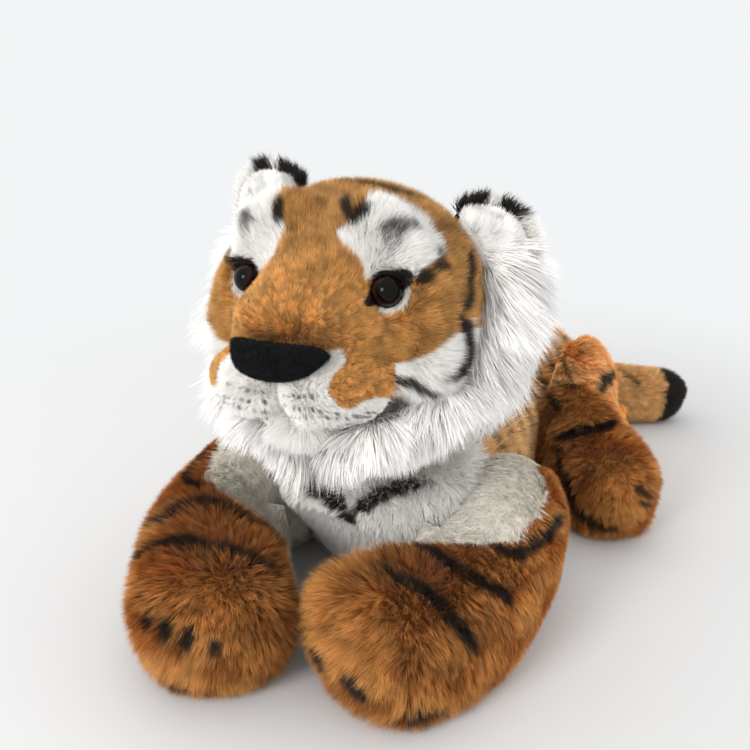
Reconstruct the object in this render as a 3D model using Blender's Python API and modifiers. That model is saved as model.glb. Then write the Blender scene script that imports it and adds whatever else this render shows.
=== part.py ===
"""A lying plush tiger, 45 cm from paws to tail tip.

Frame: metres, Z up, floor at Z = 0. The tiger faces -Y and its left side is +X.
Every soft piece is a loft through numbered stations given in millimetres.
The outer wall of each cover stands for the tips of the pile.
"""
import math

import bmesh
import bpy
from mathutils import Matrix, Vector

MM = 0.001

# Fabric and gaps
COVER_WALL = 5.0
FILLING_GAP = 1.6
TOUCH_GAP = 0.4
SEAM_GAP = 0.7
JOINT_GAP = 1.6
FLOOR_BITE = 0.5

# Joint centres
NECK = Vector((-3.0, -50.0, 112.0))
NECK_RADIUS = 25.0
SHOULDER_LEFT = Vector((66.0, -48.0, 42.0))
SHOULDER_RIGHT = Vector((-66.0, -48.0, 42.0))
SHOULDER_RADIUS = 36.0
TAIL_ROOT = Vector((22.0, 173.0, 34.0))
TAIL_RADIUS = 23.0
TAIL_HALF_HEIGHT = 24.0

# The hind quarters turn a little towards the tiger's left
HIND_ORIGIN = Vector((14.0, 113.0, 0.0))
HIND_TURN = math.radians(-6.3)
HIP_OFFSET = 43.5
HIP_HEIGHT = 51.0
HIP_CUT = 40.0
HIP_CUT_RADIUS = 74.0
HIND_SOLE_SPOT = (97.0, -58.0)

# Head placing: it looks up and slightly to its left
HEAD_CENTRE = Vector((-5.0, -86.0, 173.0))
HEAD_PITCH = math.radians(-11.5)
HEAD_ROLL = math.radians(-2.0)
HEAD_YAW = math.radians(2.4)

# Face
EYE_SEAT = Vector((35.0, -43.5, 5.5))
EYE_RADIUS = 7.6
EYE_POST_RADIUS = 2.2
EYE_POST_LENGTH = 13.0
EYE_TURN = math.radians(30.0)
EYE_RIM_RADIUS = 10.0
EYE_RIM_THICKNESS = 1.4
WASHER_RADIUS = 7.5
WASHER_THICKNESS = 1.6
EAR_SEATS = {"left": Vector((56.5, 16.0, 21.5)), "right": Vector((51.0, 8.0, 33.5))}
EAR_LEANS = {"left": math.radians(52), "right": math.radians(40)}
EAR_TURN = math.radians(14)
EAR_RADIUS = 25.0
EAR_DEPTH = 9.0
CHIN_SPOT = (0.0, -47.0, -60.0)
CHIN_RADII = (20.0, 19.0, 14.0)

# Seams of the chest and belly panels
CHEST_BACK = -57.0
BELLY_SEAM_HEIGHT = 14.0

# Soles
SOLE_THICKNESS = 2.2
SOLE_RADIUS = 15.0
HIND_SOLE_RADIUS = 12.0

# Colours of the pile, as sRGB hex
ORANGE = "#a5723b"
ORANGE_DARK = "#80582d"
CREAM = "#d9d3c2"
WHITE = "#f0ece8"
MUZZLE_WHITE = "#d8d4cd"
BLACK = "#1f1e1a"
NOSE_BLACK = "#101014"
EYE_BLACK = "#141114"
STUFFING = "#e9e7e2"
PLASTIC_WHITE = "#dcdcda"

parts = bpy.data.collections.new("plush_tiger")
guides = bpy.data.collections.new("cutters")


def clear_scene():
    """Remove whatever the file opened with."""
    for thing in list(bpy.data.objects):
        bpy.data.objects.remove(thing, do_unlink=True)


def linear(code):
    """An sRGB hex colour as linear RGBA."""
    values = [int(code[i:i + 2], 16) / 255.0 for i in (1, 3, 5)]
    bright = [v / 12.92 if v <= 0.04045 else ((v + 0.055) / 1.055) ** 2.4 for v in values]
    return (*bright, 1.0)


def material(name, code, roughness):
    """A plain finish for one piece."""
    finish = bpy.data.materials.new(name)
    finish.use_nodes = True
    shader = finish.node_tree.nodes["Principled BSDF"]
    shader.inputs["Base Color"].default_value = linear(code)
    shader.inputs["Roughness"].default_value = roughness
    shader.inputs["Metallic"].default_value = 0.0
    finish.diffuse_color = linear(code)
    return finish


def catmull(rows, steps):
    """Rows of numbers, smoothed through a Catmull-Rom curve with steps rows per span."""
    out = []
    for i in range(len(rows) - 1):
        before = rows[max(i - 1, 0)]
        here, there = rows[i], rows[i + 1]
        after = rows[min(i + 2, len(rows) - 1)]
        for k in range(steps):
            t = k / steps
            row = []
            for a, b, c, d in zip(before, here, there, after):
                m0, m1 = (c - a) / 2, (d - b) / 2
                row.append((2 * t ** 3 - 3 * t ** 2 + 1) * b + (t ** 3 - 2 * t ** 2 + t) * m0
                           + (3 * t ** 2 - 2 * t ** 3) * c + (t ** 3 - t ** 2) * m1)
            out.append(row)
    out.append(list(rows[-1]))
    return out


def power(value, exponent):
    """A signed power, for superellipse sections."""
    return math.copysign(abs(value) ** exponent, value)


def tangents(points):
    """The direction of travel at each point of a path."""
    out = []
    for i in range(len(points)):
        ahead = points[min(i + 1, len(points) - 1)]
        behind = points[max(i - 1, 0)]
        out.append((ahead - behind).normalized())
    return out


def loft(name, stations, sides=16, low_power=2.0, open_start=False,
         open_end=False, flat_end=False, up_of=None, high_power=2.0):
    """A mesh through superellipse sections (x, y, z, half width, half height), in mm.

    The lower half of each section takes low_power, so a form that lies on the floor can
    be flatter.
    """
    rows = [list(r) for r in stations]
    points = [Vector(r[:3]) for r in rows]
    ways = tangents(points)
    closed_start = not open_start
    closed_end = not (open_end or flat_end)
    work = bmesh.new()
    rings = []
    for i, (point, way) in enumerate(zip(points, ways)):
        is_pole = (i == 0 and closed_start) or (i == len(points) - 1 and closed_end)
        if is_pole:
            rings.append([work.verts.new(point * MM)])
            continue
        up = up_of(point) if up_of else Vector((0, 0, 1))
        side = way.cross(up).normalized()
        up = side.cross(way).normalized()
        half_w = rows[i][3]
        half_h = rows[i][4]
        ring = []
        for k in range(sides):
            angle = 2 * math.pi * (k + 0.5) / sides
            c, s = math.cos(angle), math.sin(angle)
            p = high_power if s > 0 else (rows[i][5] if len(rows[i]) > 5 else low_power)
            offset = side * half_w * power(c, 2 / p) + up * half_h * power(s, 2 / p)
            ring.append(work.verts.new((point + offset) * MM))
        rings.append(ring)
    for a, b in zip(rings, rings[1:]):
        if len(a) == 1:
            for k in range(sides):
                work.faces.new((a[0], b[k], b[(k + 1) % sides]))
        elif len(b) == 1:
            for k in range(sides):
                work.faces.new((a[(k + 1) % sides], a[k], b[0]))
        else:
            for k in range(sides):
                n = (k + 1) % sides
                work.faces.new((a[n], a[k], b[k], b[n]))
    if flat_end:
        work.faces.new(rings[-1])
    if not (open_start or open_end):
        bmesh.ops.recalc_face_normals(work, faces=work.faces)
    mesh = bpy.data.meshes.new(name)
    work.to_mesh(mesh)
    work.free()
    return mesh


def add(name, mesh, finish=None, frame=None):
    """Put a mesh in the scene: a part when it has a finish, else a cutter."""
    if frame is not None:
        mesh.transform(frame)
    thing = bpy.data.objects.new(name, mesh)
    if finish is None:
        guides.objects.link(thing)
        thing.hide_render = True
        thing.display_type = "WIRE"
    else:
        parts.objects.link(thing)
        mesh.materials.append(finish)
        mesh.shade_smooth()
    return thing


def primitive(name, maker, finish=None, frame=None, **sizes):
    """A bmesh primitive as an object."""
    work = bmesh.new()
    maker(work, **sizes)
    mesh = bpy.data.meshes.new(name)
    work.to_mesh(mesh)
    work.free()
    return add(name, mesh, finish, frame)


def ball(name, centre, radii, finish=None, segments=24, rings=14, frame=None):
    """A sphere stretched to three radii, in mm."""
    stretch = Matrix.Diagonal((*[r * MM for r in radii], 1.0))
    place = Matrix.Translation(Vector(centre) * MM) @ stretch
    if frame is not None:
        place = frame @ place
    return primitive(name, bmesh.ops.create_uvsphere, finish, place,
                     u_segments=segments, v_segments=rings, radius=1.0)


def block(name, low, high, frame=None):
    """A box cutter between two corners, in mm."""
    low, high = Vector(low), Vector(high)
    size = high - low
    place = Matrix.Translation((low + high) / 2 * MM) @ Matrix.Diagonal((*(size * MM), 1.0))
    if frame is not None:
        place = frame @ place
    return primitive(name, bmesh.ops.create_cube, None, place, size=1.0)


def disc(name, centre, axis, radius, length, finish=None, segments=24, frame=None):
    """A cylinder centred on a point, along an axis, in mm."""
    turn = Vector(axis).to_track_quat("Z", "Y").to_matrix().to_4x4()
    place = Matrix.Translation(Vector(centre) * MM) @ turn @ Matrix.Diagonal((MM, MM, MM, 1.0))
    if frame is not None:
        place = frame @ place
    return primitive(name, bmesh.ops.create_cone, finish, place, cap_ends=True,
                     segments=segments, radius1=radius, radius2=radius, depth=length)


def cut(thing, *cutters):
    """Take each cutter away from a piece."""
    for cutter in cutters:
        step = thing.modifiers.new("cut_" + cutter.name, "BOOLEAN")
        step.operation = "DIFFERENCE"
        step.solver = "EXACT"
        step.object = cutter
    return thing


def keep(thing, cutter):
    """Keep only what lies inside a cutter."""
    step = thing.modifiers.new("keep_" + cutter.name, "BOOLEAN")
    step.operation = "INTERSECT"
    step.solver = "EXACT"
    step.object = cutter
    return thing


def join(thing, other):
    """Sew another form on, as one body."""
    step = thing.modifiers.new("join_" + other.name, "BOOLEAN")
    step.operation = "UNION"
    step.solver = "EXACT"
    step.object = other
    return thing


def shell(thing, wall=COVER_WALL):
    """Give an outer surface its fabric thickness, inwards."""
    step = thing.modifiers.new("wall", "SOLIDIFY")
    step.thickness = wall * MM
    step.offset = -1.0
    step.use_even_offset = False
    return thing


def room_for(name, mesh, gap, frame=None):
    """A cutter that leaves a form its gap all round."""
    thing = add(name, mesh, None, frame)
    step = thing.modifiers.new("let_out", "DISPLACE")
    step.strength = gap * MM
    step.mid_level = 0.0
    return thing


def stuffing_of(thing):
    """Draw a closed form in along its normals, to the stuffing inside its cover."""
    step = thing.modifiers.new("draw_in", "DISPLACE")
    step.strength = -(COVER_WALL + FILLING_GAP) * MM
    step.mid_level = 0.0
    return thing


def mirrored(stations):
    """The same stations on the tiger's other side."""
    return [(-r[0], *r[1:]) for r in stations]


def ball_end(centre, way, radius, half_height, offsets):
    """Stations over the round root of a limb that turns about a vertical axis."""
    rows = []
    for s in offsets:
        share = math.sqrt(1 - (s / radius) ** 2)
        spot = centre - way * s
        rows.append((spot.x, spot.y, spot.z, radius * share, half_height * share, 2.0))
    return rows


def torso_stations():
    """Chest to rump: x, y, half width and top height, lying flat on the floor."""
    rows = [(-4, -96, 24, 64), (-3, -88, 42, 84), (-2, -72, 58, 97), (-1, -48, 65, 105),
            (1, -14, 61, 107), (4, 26, 50, 103), (9, 70, 41, 98), (14, 113, 42, 98),
            (18, 142, 40, 92), (20.5, 160, 32, 79), (21.5, 171, 18, 62)]
    smooth = [(x, y, top / 2 - FLOOR_BITE / 2, w, top / 2 + FLOOR_BITE / 2)
              for x, y, w, top in rows]
    return [(-4, -100, 31, 0, 0)] + smooth + [(22, 176, 31, 0, 0)]


def front_leg_stations(centre, rows):
    """A front leg from its round root in the shoulder to the toes."""
    way = (Vector(rows[0][:3]) - centre).normalized()
    root = ball_end(centre, way, SHOULDER_RADIUS, 42.5, (33.5, 27, 17, 7))
    return root + [(*centre, SHOULDER_RADIUS, 42.5, 2.0)] + rows


# Front legs: x, y, z, half width, half height and the power of the lower half
LEFT_LEG_ROWS = [(73, -84, 40, 35, 40.5, 2.4), (72, -110, 37, 33.5, 37.5, 2.9),
                 (62, -134, 36, 36, 36.5, 3.1), (49.5, -154, 36, 40, 36.5, 3.0),
                 (42, -169, 35, 36.5, 34.5, 2.6), (38, -180, 34, 24, 23, 2.2), (36, -185, 34, 0, 0)]
RIGHT_LEG_ROWS = [(-77, -84, 41, 35, 41.5, 2.4), (-75, -116, 39, 33, 39.5, 2.9),
                  (-61, -146, 37, 34, 37.5, 3.1), (-42, -170, 36, 38, 36.5, 3.0),
                  (-28, -189, 35, 35, 34.5, 2.6), (-19, -202, 34, 23, 23, 2.2),
                  (-15, -208, 34, 0, 0)]
SOLE_LEFT = (48.0, -155.0)
SOLE_RIGHT = (-38.0, -174.0)


def torso_rooms():
    """Cutters that leave the neck, each limb and the tail its gap in the trunk."""
    limbs = {"leg_room_left": front_leg_stations(SHOULDER_LEFT, LEFT_LEG_ROWS),
             "leg_room_right": front_leg_stations(SHOULDER_RIGHT, RIGHT_LEG_ROWS),
             "tail_room": tail_path()}
    rooms = [room_for(name, loft(name, closed_root(path)), JOINT_GAP)
             for name, path in limbs.items()]
    rooms.append(ball("neck_socket", NECK, [NECK_RADIUS + JOINT_GAP] * 3, segments=20, rings=12))
    for side, sign in (("left", 1), ("right", -1)):
        spot = (sign * (HIP_OFFSET - TOUCH_GAP + HIP_CUT / 2), 0, HIP_HEIGHT)
        rooms.append(disc("hip_flat_" + side, spot, (1, 0, 0), HIP_CUT_RADIUS, HIP_CUT,
                          segments=32, frame=hind_frame()))
    return rooms


def torso():
    """The back cover, chest and belly panels and the stuffing of the trunk."""
    orange = material("orange_pile", ORANGE, 0.95)
    cream = material("cream_pile", CREAM, 0.95)
    stuffing = material("fibre_filling", STUFFING, 1.0)
    rooms = torso_rooms()
    seam = BELLY_SEAM_HEIGHT
    chest_front = block("chest_front", (-70, -120, seam), (70, CHEST_BACK, 140))
    chest_room = block("chest_room", (-70, -120, seam - TOUCH_GAP),
                       (70, CHEST_BACK + TOUCH_GAP, 140))
    belly_base = block("belly_base", (-90, -120, 0), (90, 220, seam - TOUCH_GAP))
    belly_room = block("belly_room", (-90, -120, -5), (90, 220, seam))

    def form(name, finish):
        return add(name, loft(name, torso_stations(), 18, low_power=3.4), finish)

    cut(shell(form("torso_back_cover", orange)), chest_room, belly_room, *rooms)
    cut(keep(shell(form("chest_panel", cream)), chest_front), *rooms)
    cut(keep(shell(form("belly_panel", cream)), belly_base), *rooms)
    cut(stuffing_of(form("torso_filling", stuffing)), *rooms)


def closed_root(path):
    """The stations of a limb with its open root closed by a pole."""
    first, second = Vector(path[0][:3]), Vector(path[1][:3])
    pole = first + (first - second).normalized() * 3.0
    return [(*pole, 0, 0)] + path


def hind_frame():
    """The frame of the hind quarters, in metres."""
    return Matrix.Translation(HIND_ORIGIN * MM) @ Matrix.Rotation(HIND_TURN, 4, "Z")


def empty(name, spot, frame=None):
    """A joint centre, with the pieces that turn about it as its children."""
    hold = bpy.data.objects.new(name, None)
    hold.empty_display_size = 0.02
    hold.location = Vector(spot) * MM if frame is None else frame @ (Vector(spot) * MM)
    guides.objects.link(hold)
    return hold


def hang(hold, *pieces):
    """Give each piece its origin on the joint and make it the joint's child."""
    spot = hold.location.copy()
    for piece in pieces:
        piece.data.transform(Matrix.Translation(-spot))
        piece.parent = hold


def sole_parts(name, spot, radius, frame=None):
    """The flat black sole sewn under a foot, and the cutter that seats it in the cover."""
    black = material(name + "_fabric", BLACK, 0.9)
    sole = disc(name, (*spot, SOLE_THICKNESS / 2), (0, 0, 1), radius, SOLE_THICKNESS, black,
                frame=frame)
    room = disc(name + "_room", (*spot, 0), (0, 0, 1), radius + TOUCH_GAP,
                2 * (SOLE_THICKNESS + TOUCH_GAP), frame=frame)
    return sole, room


def front_leg(side, centre, rows, sole_spot, floor):
    """One front leg: cover, stuffing and the dark sole."""
    orange = material("leg_pile_" + side, ORANGE_DARK, 0.95)
    stuffing = material("leg_filling_" + side, STUFFING, 1.0)
    path = front_leg_stations(centre, rows)
    name = "front_leg_" + side
    cover = add(name + "_cover", loft(name + "_cover", path, 14, open_start=True), orange)
    sole, sole_room = sole_parts(name + "_sole", sole_spot, SOLE_RADIUS)
    cut(shell(cover), floor, sole_room)
    filling = add(name + "_filling", loft(name + "_filling", closed_root(path[1:]), 14), stuffing)
    stuffing_of(filling)
    hang(empty(name + "_joint", centre), cover, filling, sole)


# Hind leg in the hind quarters' frame: x, y, z, half width, half height
HIND_LEG_ROWS = [(42, 30, 49, 21, 32), (44, 12, 50.5, 29, 47), (46, -10, 51, 31.5, 51),
                 (57, -28, 44, 30, 42.5), (77, -43, 34, 29, 34), (94, -57, 30.5, 30.5, 31),
                 (106, -68, 28.5, 26, 28.5), (114, -76, 27, 15, 17)]
HIND_LEG_ENDS = ((39.5, 39, 48, 0, 0), (118, -80, 26, 0, 0))


def hind_leg(side, sign, floor):
    """One hind leg: the haunch lies flat against the flank and the foot points outwards."""
    orange = material("haunch_pile_" + side, ORANGE, 0.95)
    stuffing = material("haunch_filling_" + side, STUFFING, 1.0)
    path = [HIND_LEG_ENDS[0]] + HIND_LEG_ROWS + [HIND_LEG_ENDS[1]]
    if sign < 0:
        path = mirrored(path)
    frame = hind_frame()
    name = "hind_leg_" + side
    near, far = sorted((sign * HIP_OFFSET, sign * 300.0))
    outer_side = block("outer_side_" + side, (near, -300, -100), (far, 300, 300), frame)

    def form(label, finish):
        return add(name + label, loft(name + label, path, 14, low_power=3.0), finish, frame)

    cover = form("_cover", orange)
    spot = (sign * HIND_SOLE_SPOT[0], HIND_SOLE_SPOT[1])
    sole, sole_room = sole_parts(name + "_sole", spot, HIND_SOLE_RADIUS, frame)
    cut(keep(shell(cover), outer_side), floor, sole_room)
    filling = keep(stuffing_of(form("_filling", stuffing)), outer_side)
    joint = empty(name + "_joint", (sign * HIP_OFFSET, 0, HIP_HEIGHT), frame)
    hang(joint, cover, filling, sole)


# Tail: x, y, z, half width, half height
TAIL_ROWS = [(34, 182, 32, 22, 23.5), (48, 191, 29, 21, 22.5), (70, 204, 25, 20.5, 22),
             (91, 217, 23, 19, 20.5)]
TIP_ROWS = [(92, 217.6, 23, 18.8, 20.3), (102, 224, 22.5, 18, 19.5), (110, 230.5, 22, 13, 15),
            (114, 234.5, 21.5, 7, 8)]


def tail_path():
    """Stations from the round root of the tail to the seam of its tip."""
    way = Vector(TAIL_ROWS[0][:3]) - TAIL_ROOT
    way.z = 0
    way.normalize()
    root = ball_end(TAIL_ROOT, way, TAIL_RADIUS, TAIL_HALF_HEIGHT, (21.5, 15, 7))
    return root + [(*TAIL_ROOT, TAIL_RADIUS, TAIL_HALF_HEIGHT)] + TAIL_ROWS


def tail(floor):
    """The tail's cover, its stuffing and the black tip sewn over its end."""
    orange = material("tail_pile", ORANGE, 0.95)
    stuffing = material("tail_filling_fibre", STUFFING, 1.0)
    black = material("tail_tip_pile", BLACK, 0.95)
    path = tail_path()
    cover = add("tail_cover", loft("tail_cover", path, 14, open_start=True, open_end=True), orange)
    shell(cover)
    cut(cover, floor)
    filling = add("tail_filling", loft("tail_filling", closed_root(path[1:]), 14), stuffing)
    stuffing_of(filling)
    tip_path = catmull(TIP_ROWS, 2) + [(116, 237, 21, 0, 0)]
    tip = add("tail_tip", loft("tail_tip", tip_path[::-1], 14, flat_end=True), black)
    cut(tip, floor)
    hang(empty("tail_joint", TAIL_ROOT), cover, filling, tip)


def head_frame():
    """The placing of the head, in metres."""
    turn = Matrix.Rotation(HEAD_YAW, 4, "Z") @ Matrix.Rotation(HEAD_PITCH, 4, "X")
    return Matrix.Translation(HEAD_CENTRE * MM) @ turn @ Matrix.Rotation(HEAD_ROLL, 4, "Y")


def skull_stations():
    """Back of the head to the face: y, middle height, half width and half height."""
    rows = [(57, -2, 22, 19), (50, -1, 41, 36), (38, -1, 56, 49), (20, -1, 67, 58), (0, -1, 70, 60),
            (-20, -1, 63, 56), (-36, -1, 50, 47), (-46, 0, 34, 34), (-51, 0, 19, 19)]
    smooth = catmull([(0, y, z, w, h) for y, z, w, h in rows], 2)
    return [(0, 60, -1, 0, 0)] + smooth + [(0, -54, 0, 0, 0)]


def bridge_stations():
    """The wedge of the nose, from the crease of the forehead down to the nose."""
    rows = [(0, -36, 14, 12, 14), (0, -48, 8, 17, 17), (0, -60, 0, 22, 19), (0, -70, -8, 25, 18),
            (0, -76, -13, 22, 14)]
    return [(0, -28, 16, 0, 0)] + catmull(rows, 2) + [(0, -79, -16, 0, 0)]


def muzzle_stations(side):
    """One lobe of the muzzle, from the cheek round to the middle."""
    rows = [(36, -44, -39, 12, 13), (29, -51, -39, 18, 19), (18, -57, -39, 22, 22),
            (7, -60, -39, 21, 22)]
    smooth = [(side * x, y, z, w, h) for x, y, z, w, h in catmull(rows, 2)]
    return [(side * 42, -38, -38, 0, 0)] + smooth + [(-side * 4, -61, -39, 13, 16)]


def ruff_stations(side):
    """One half of the ruff: from behind the ear down the cheek to under the chin."""
    rows = [(66, 30, 34, 18, 10), (75, 26, 16, 24, 14), (78, 20, -8, 28, 17), (71, 12, -36, 29, 17),
            (53, -2, -59, 27, 16), (28, -20, -73, 25, 16), (8, -28, -78, 24, 15)]
    smooth = [(side * x, y, z, w, h) for x, y, z, w, h in catmull(rows, 2)]
    return [(side * 58, 32, 47, 0, 0)] + smooth + [(-side * 6, -29, -79, 22, 14)]


def nose_stations():
    """The nose, from the face forwards: x, y, z, half width and half height."""
    rows = [(0, -71, -23, 20, 10), (0, -76, -24, 23, 12), (0, -81, -26, 21, 11),
            (0, -84, -27, 13, 6.5)]
    return [(0, -66, -22, 0, 0)] + catmull(rows, 2) + [(0, -85.5, -27, 0, 0)]


def outward(point):
    """Away from the head's own front-to-back axis."""
    return Vector((point.x, 0.0, point.z + 4.0)).normalized()


def middle_block(name, side, frame):
    """Everything past the middle of the face, for trimming a left or right piece."""
    if side > 0:
        return block(name, (-120, -200, -200), (TOUCH_GAP / 2, 200, 200), frame)
    return block(name, (-TOUCH_GAP / 2, -200, -200), (120, 200, 200), frame)


def eye_parts(side, label, frame):
    """An eye, the felt rim under it and the washer that locks its post, with their cutters."""
    glossy = material("eye_plastic_" + label, EYE_BLACK, 0.08)
    felt = material("eye_felt_" + label, BLACK, 0.95)
    nylon = material("washer_plastic_" + label, PLASTIC_WHITE, 0.4)
    seat = Vector((side * EYE_SEAT.x, EYE_SEAT.y, EYE_SEAT.z))
    axis = Vector((side * math.sin(EYE_TURN), -math.cos(EYE_TURN), 0.12)).normalized()
    post_middle = seat - axis * (EYE_POST_LENGTH / 2 - 2)
    eye = ball("eye_" + label, seat, (EYE_RADIUS, EYE_RADIUS, EYE_RADIUS), glossy, 16, 10, frame)
    back = disc("eye_back_" + label, seat - axis * 20, axis, 20, 40, frame=frame)
    cut(eye, back)
    post = disc("eye_post_" + label, post_middle, axis, EYE_POST_RADIUS, EYE_POST_LENGTH,
                segments=12, frame=frame)
    join(eye, post)
    rim_middle = seat - axis * (TOUCH_GAP + EYE_RIM_THICKNESS / 2)
    rim = disc("eye_rim_" + label, rim_middle, axis, EYE_RIM_RADIUS, EYE_RIM_THICKNESS, felt, 20,
               frame=frame)
    post_room = disc("eye_post_room_" + label, post_middle, axis, EYE_POST_RADIUS + TOUCH_GAP,
                     EYE_POST_LENGTH + 3, segments=16, frame=frame)
    cut(rim, post_room)
    spot_face = seat - axis * (2 * TOUCH_GAP + EYE_RIM_THICKNESS) + axis * 15
    rim_room = disc("eye_rim_room_" + label, spot_face, axis, EYE_RIM_RADIUS + TOUCH_GAP, 30,
                    frame=frame)
    washer_middle = seat - axis * (EYE_POST_LENGTH - 4.5)
    washer = disc("eye_washer_" + label, washer_middle, axis, WASHER_RADIUS, WASHER_THICKNESS,
                  nylon, 20, frame=frame)
    cut(washer, post_room)
    washer_room = disc("eye_washer_room_" + label, washer_middle - axis * 0.5, axis,
                       WASHER_RADIUS + 1.3, 8, frame=frame)
    return [eye, rim, washer], post_room, rim_room, washer_room


def ear_parts(side, label, frame, skull_room):
    """A rounded ear of two plies: the black-tipped back and the white lining."""
    black = material("ear_back_pile_" + label, BLACK, 0.95)
    white = material("ear_lining_pile_" + label, WHITE, 0.95)
    spot = EAR_SEATS[label]
    seat = Vector((side * spot.x, spot.y, spot.z)) * MM
    lean = Matrix.Rotation(side * EAR_LEANS[label], 4, "Y")
    place = frame @ Matrix.Translation(seat) @ lean @ Matrix.Rotation(side * EAR_TURN, 4, "Z")
    grown = EAR_RADIUS + TOUCH_GAP
    ball("ear_room_" + label, (0, 0, 0), (grown, EAR_DEPTH + TOUCH_GAP, grown), None, 16, 10, place)
    pieces = []
    for name, finish, low, high in (("ear_back_" + label, black, TOUCH_GAP / 2, 60),
                                    ("ear_lining_" + label, white, -60, -TOUCH_GAP / 2)):
        ply = ball(name, (0, 0, 0), (EAR_RADIUS, EAR_DEPTH, EAR_RADIUS), finish, 16, 10, place)
        keep(ply, block(name + "_side", (-60, low, -60), (60, high, 60), place))
        if "lining" in name:
            cut(ply, ball(name + "_hollow", (0, -EAR_DEPTH - 1, 3), (16, 5.5, 16), None, 14, 8, place))
        cut(ply, skull_room)
        pieces.append(ply)
    return pieces


def face_side(side, label, frame, cover, filling, skull_room, bridge_room):
    """The eye, ear, muzzle lobe and half ruff of one side."""
    white = material("muzzle_pile_" + label, MUZZLE_WHITE, 0.95)
    long_white = material("ruff_pile_" + label, WHITE, 0.98)
    eyes, post_room, rim_room, washer_room = eye_parts(side, label, frame)
    cut(cover, post_room, rim_room)
    cut(filling, post_room, washer_room)
    ears = ear_parts(side, label, frame, skull_room)
    past = middle_block("past_middle_" + label, side, frame)
    name = "muzzle_" + label
    lobe = add(name, loft(name, muzzle_stations(side), 16, flat_end=True), white, frame)
    cut(lobe, skull_room, bridge_room, past)
    name = "muzzle_room_" + label
    lobe_room = room_for(name, loft(name, muzzle_stations(side), 16, flat_end=True),
                         TOUCH_GAP, frame)
    name = "ruff_" + label
    half = add(name, loft(name, ruff_stations(side), 12, up_of=outward, flat_end=True),
               long_white, frame)
    cut(half, skull_room, past, lobe_room, bpy.data.objects["ear_room_" + label])
    return [*eyes, *ears, lobe, half], lobe_room, half


def chin_and_nose(frame, skull_room, bridge_room, lobe_rooms, ruffs):
    """The chin under the muzzle and the velour nose on the end of the bridge."""
    white = material("chin_pile", MUZZLE_WHITE, 0.95)
    velour = material("nose_velour", NOSE_BLACK, 0.9)
    chin = ball("chin", CHIN_SPOT, CHIN_RADII, white, 16, 10, frame)
    cut(chin, skull_room, *lobe_rooms)
    grown = [r + TOUCH_GAP for r in CHIN_RADII]
    chin_room = ball("chin_room", CHIN_SPOT, grown, None, 16, 10, frame)
    for half in ruffs:
        cut(half, chin_room)
    nose = add("nose", loft("nose", nose_stations(), 18), velour, frame)
    cut(nose, bridge_room, skull_room, *lobe_rooms)
    return [chin, nose]


def head():
    """The head: cover, stuffing, face, ears, eyes and ruff, all on the neck joint."""
    orange = material("head_pile", ORANGE, 0.95)
    stuffing = material("head_fibre", STUFFING, 1.0)
    frame = head_frame()
    neck_room = ball("head_neck_socket", NECK, [NECK_RADIUS + JOINT_GAP] * 3, segments=20, rings=12)
    skull_room = room_for("skull_room", loft("skull_room", skull_stations(), 16), SEAM_GAP, frame)
    bridge_room = room_for("bridge_room", loft("bridge_room", bridge_stations(), 12), SEAM_GAP, frame)
    bridge = add("bridge", loft("bridge", bridge_stations(), 12), None, frame)
    cover = add("head_cover", loft("head_cover", skull_stations(), 16), orange, frame)
    join(shell(cover), bridge)
    filling = add("head_filling", loft("head_filling", skull_stations(), 16), stuffing, frame)
    cut(stuffing_of(filling), bridge_room, neck_room)
    cut(cover, neck_room)
    pieces, lobe_rooms, ruffs = [cover, filling], [], []
    for side, label in ((1, "left"), (-1, "right")):
        found, lobe_room, half = face_side(side, label, frame, cover, filling, skull_room, bridge_room)
        pieces += found
        lobe_rooms.append(lobe_room)
        ruffs.append(half)
    pieces += chin_and_nose(frame, skull_room, bridge_room, lobe_rooms, ruffs)
    hang(empty("head_joint", NECK), *pieces)


def neck():
    """The ball of stuffing at the neck, on which the head turns and nods."""
    stuffing = material("neck_fibre", STUFFING, 1.0)
    core = ball("neck_core", NECK, [NECK_RADIUS] * 3, stuffing, 20, 12)
    hang(empty("neck_joint", NECK), core)


def build():
    """The whole toy."""
    clear_scene()
    bpy.context.scene.collection.children.link(parts)
    bpy.context.scene.collection.children.link(guides)
    floor = block("floor", (-300, -300, -40), (300, 300, 0))
    torso()
    front_leg("left", SHOULDER_LEFT, LEFT_LEG_ROWS, SOLE_LEFT, floor)
    front_leg("right", SHOULDER_RIGHT, RIGHT_LEG_ROWS, SOLE_RIGHT, floor)
    hind_leg("left", 1, floor)
    hind_leg("right", -1, floor)
    tail(floor)
    neck()
    head()


build()
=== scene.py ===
"""A lying plush tiger dressed in pile fabric: covers, strands of pile, ruff, face and floor.

Working sizes are millimetres in the part's own frame, and meshes are written in metres.
The tiger faces -Y, its left side is +X, and the floor is Z = 0.
"""
import math

import bpy
import numpy as np
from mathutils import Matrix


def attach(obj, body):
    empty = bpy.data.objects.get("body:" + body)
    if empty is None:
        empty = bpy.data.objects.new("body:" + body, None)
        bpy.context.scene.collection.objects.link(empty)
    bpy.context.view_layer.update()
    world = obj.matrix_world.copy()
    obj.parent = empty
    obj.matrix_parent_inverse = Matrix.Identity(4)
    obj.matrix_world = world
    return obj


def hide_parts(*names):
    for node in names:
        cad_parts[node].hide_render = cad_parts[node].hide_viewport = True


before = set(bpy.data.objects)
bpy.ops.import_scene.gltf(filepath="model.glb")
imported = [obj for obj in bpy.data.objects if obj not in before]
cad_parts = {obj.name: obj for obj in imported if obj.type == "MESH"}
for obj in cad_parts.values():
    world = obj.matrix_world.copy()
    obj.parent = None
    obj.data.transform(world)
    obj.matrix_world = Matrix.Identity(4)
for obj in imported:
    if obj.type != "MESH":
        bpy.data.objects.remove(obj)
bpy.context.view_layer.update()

MM = 0.001

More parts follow.
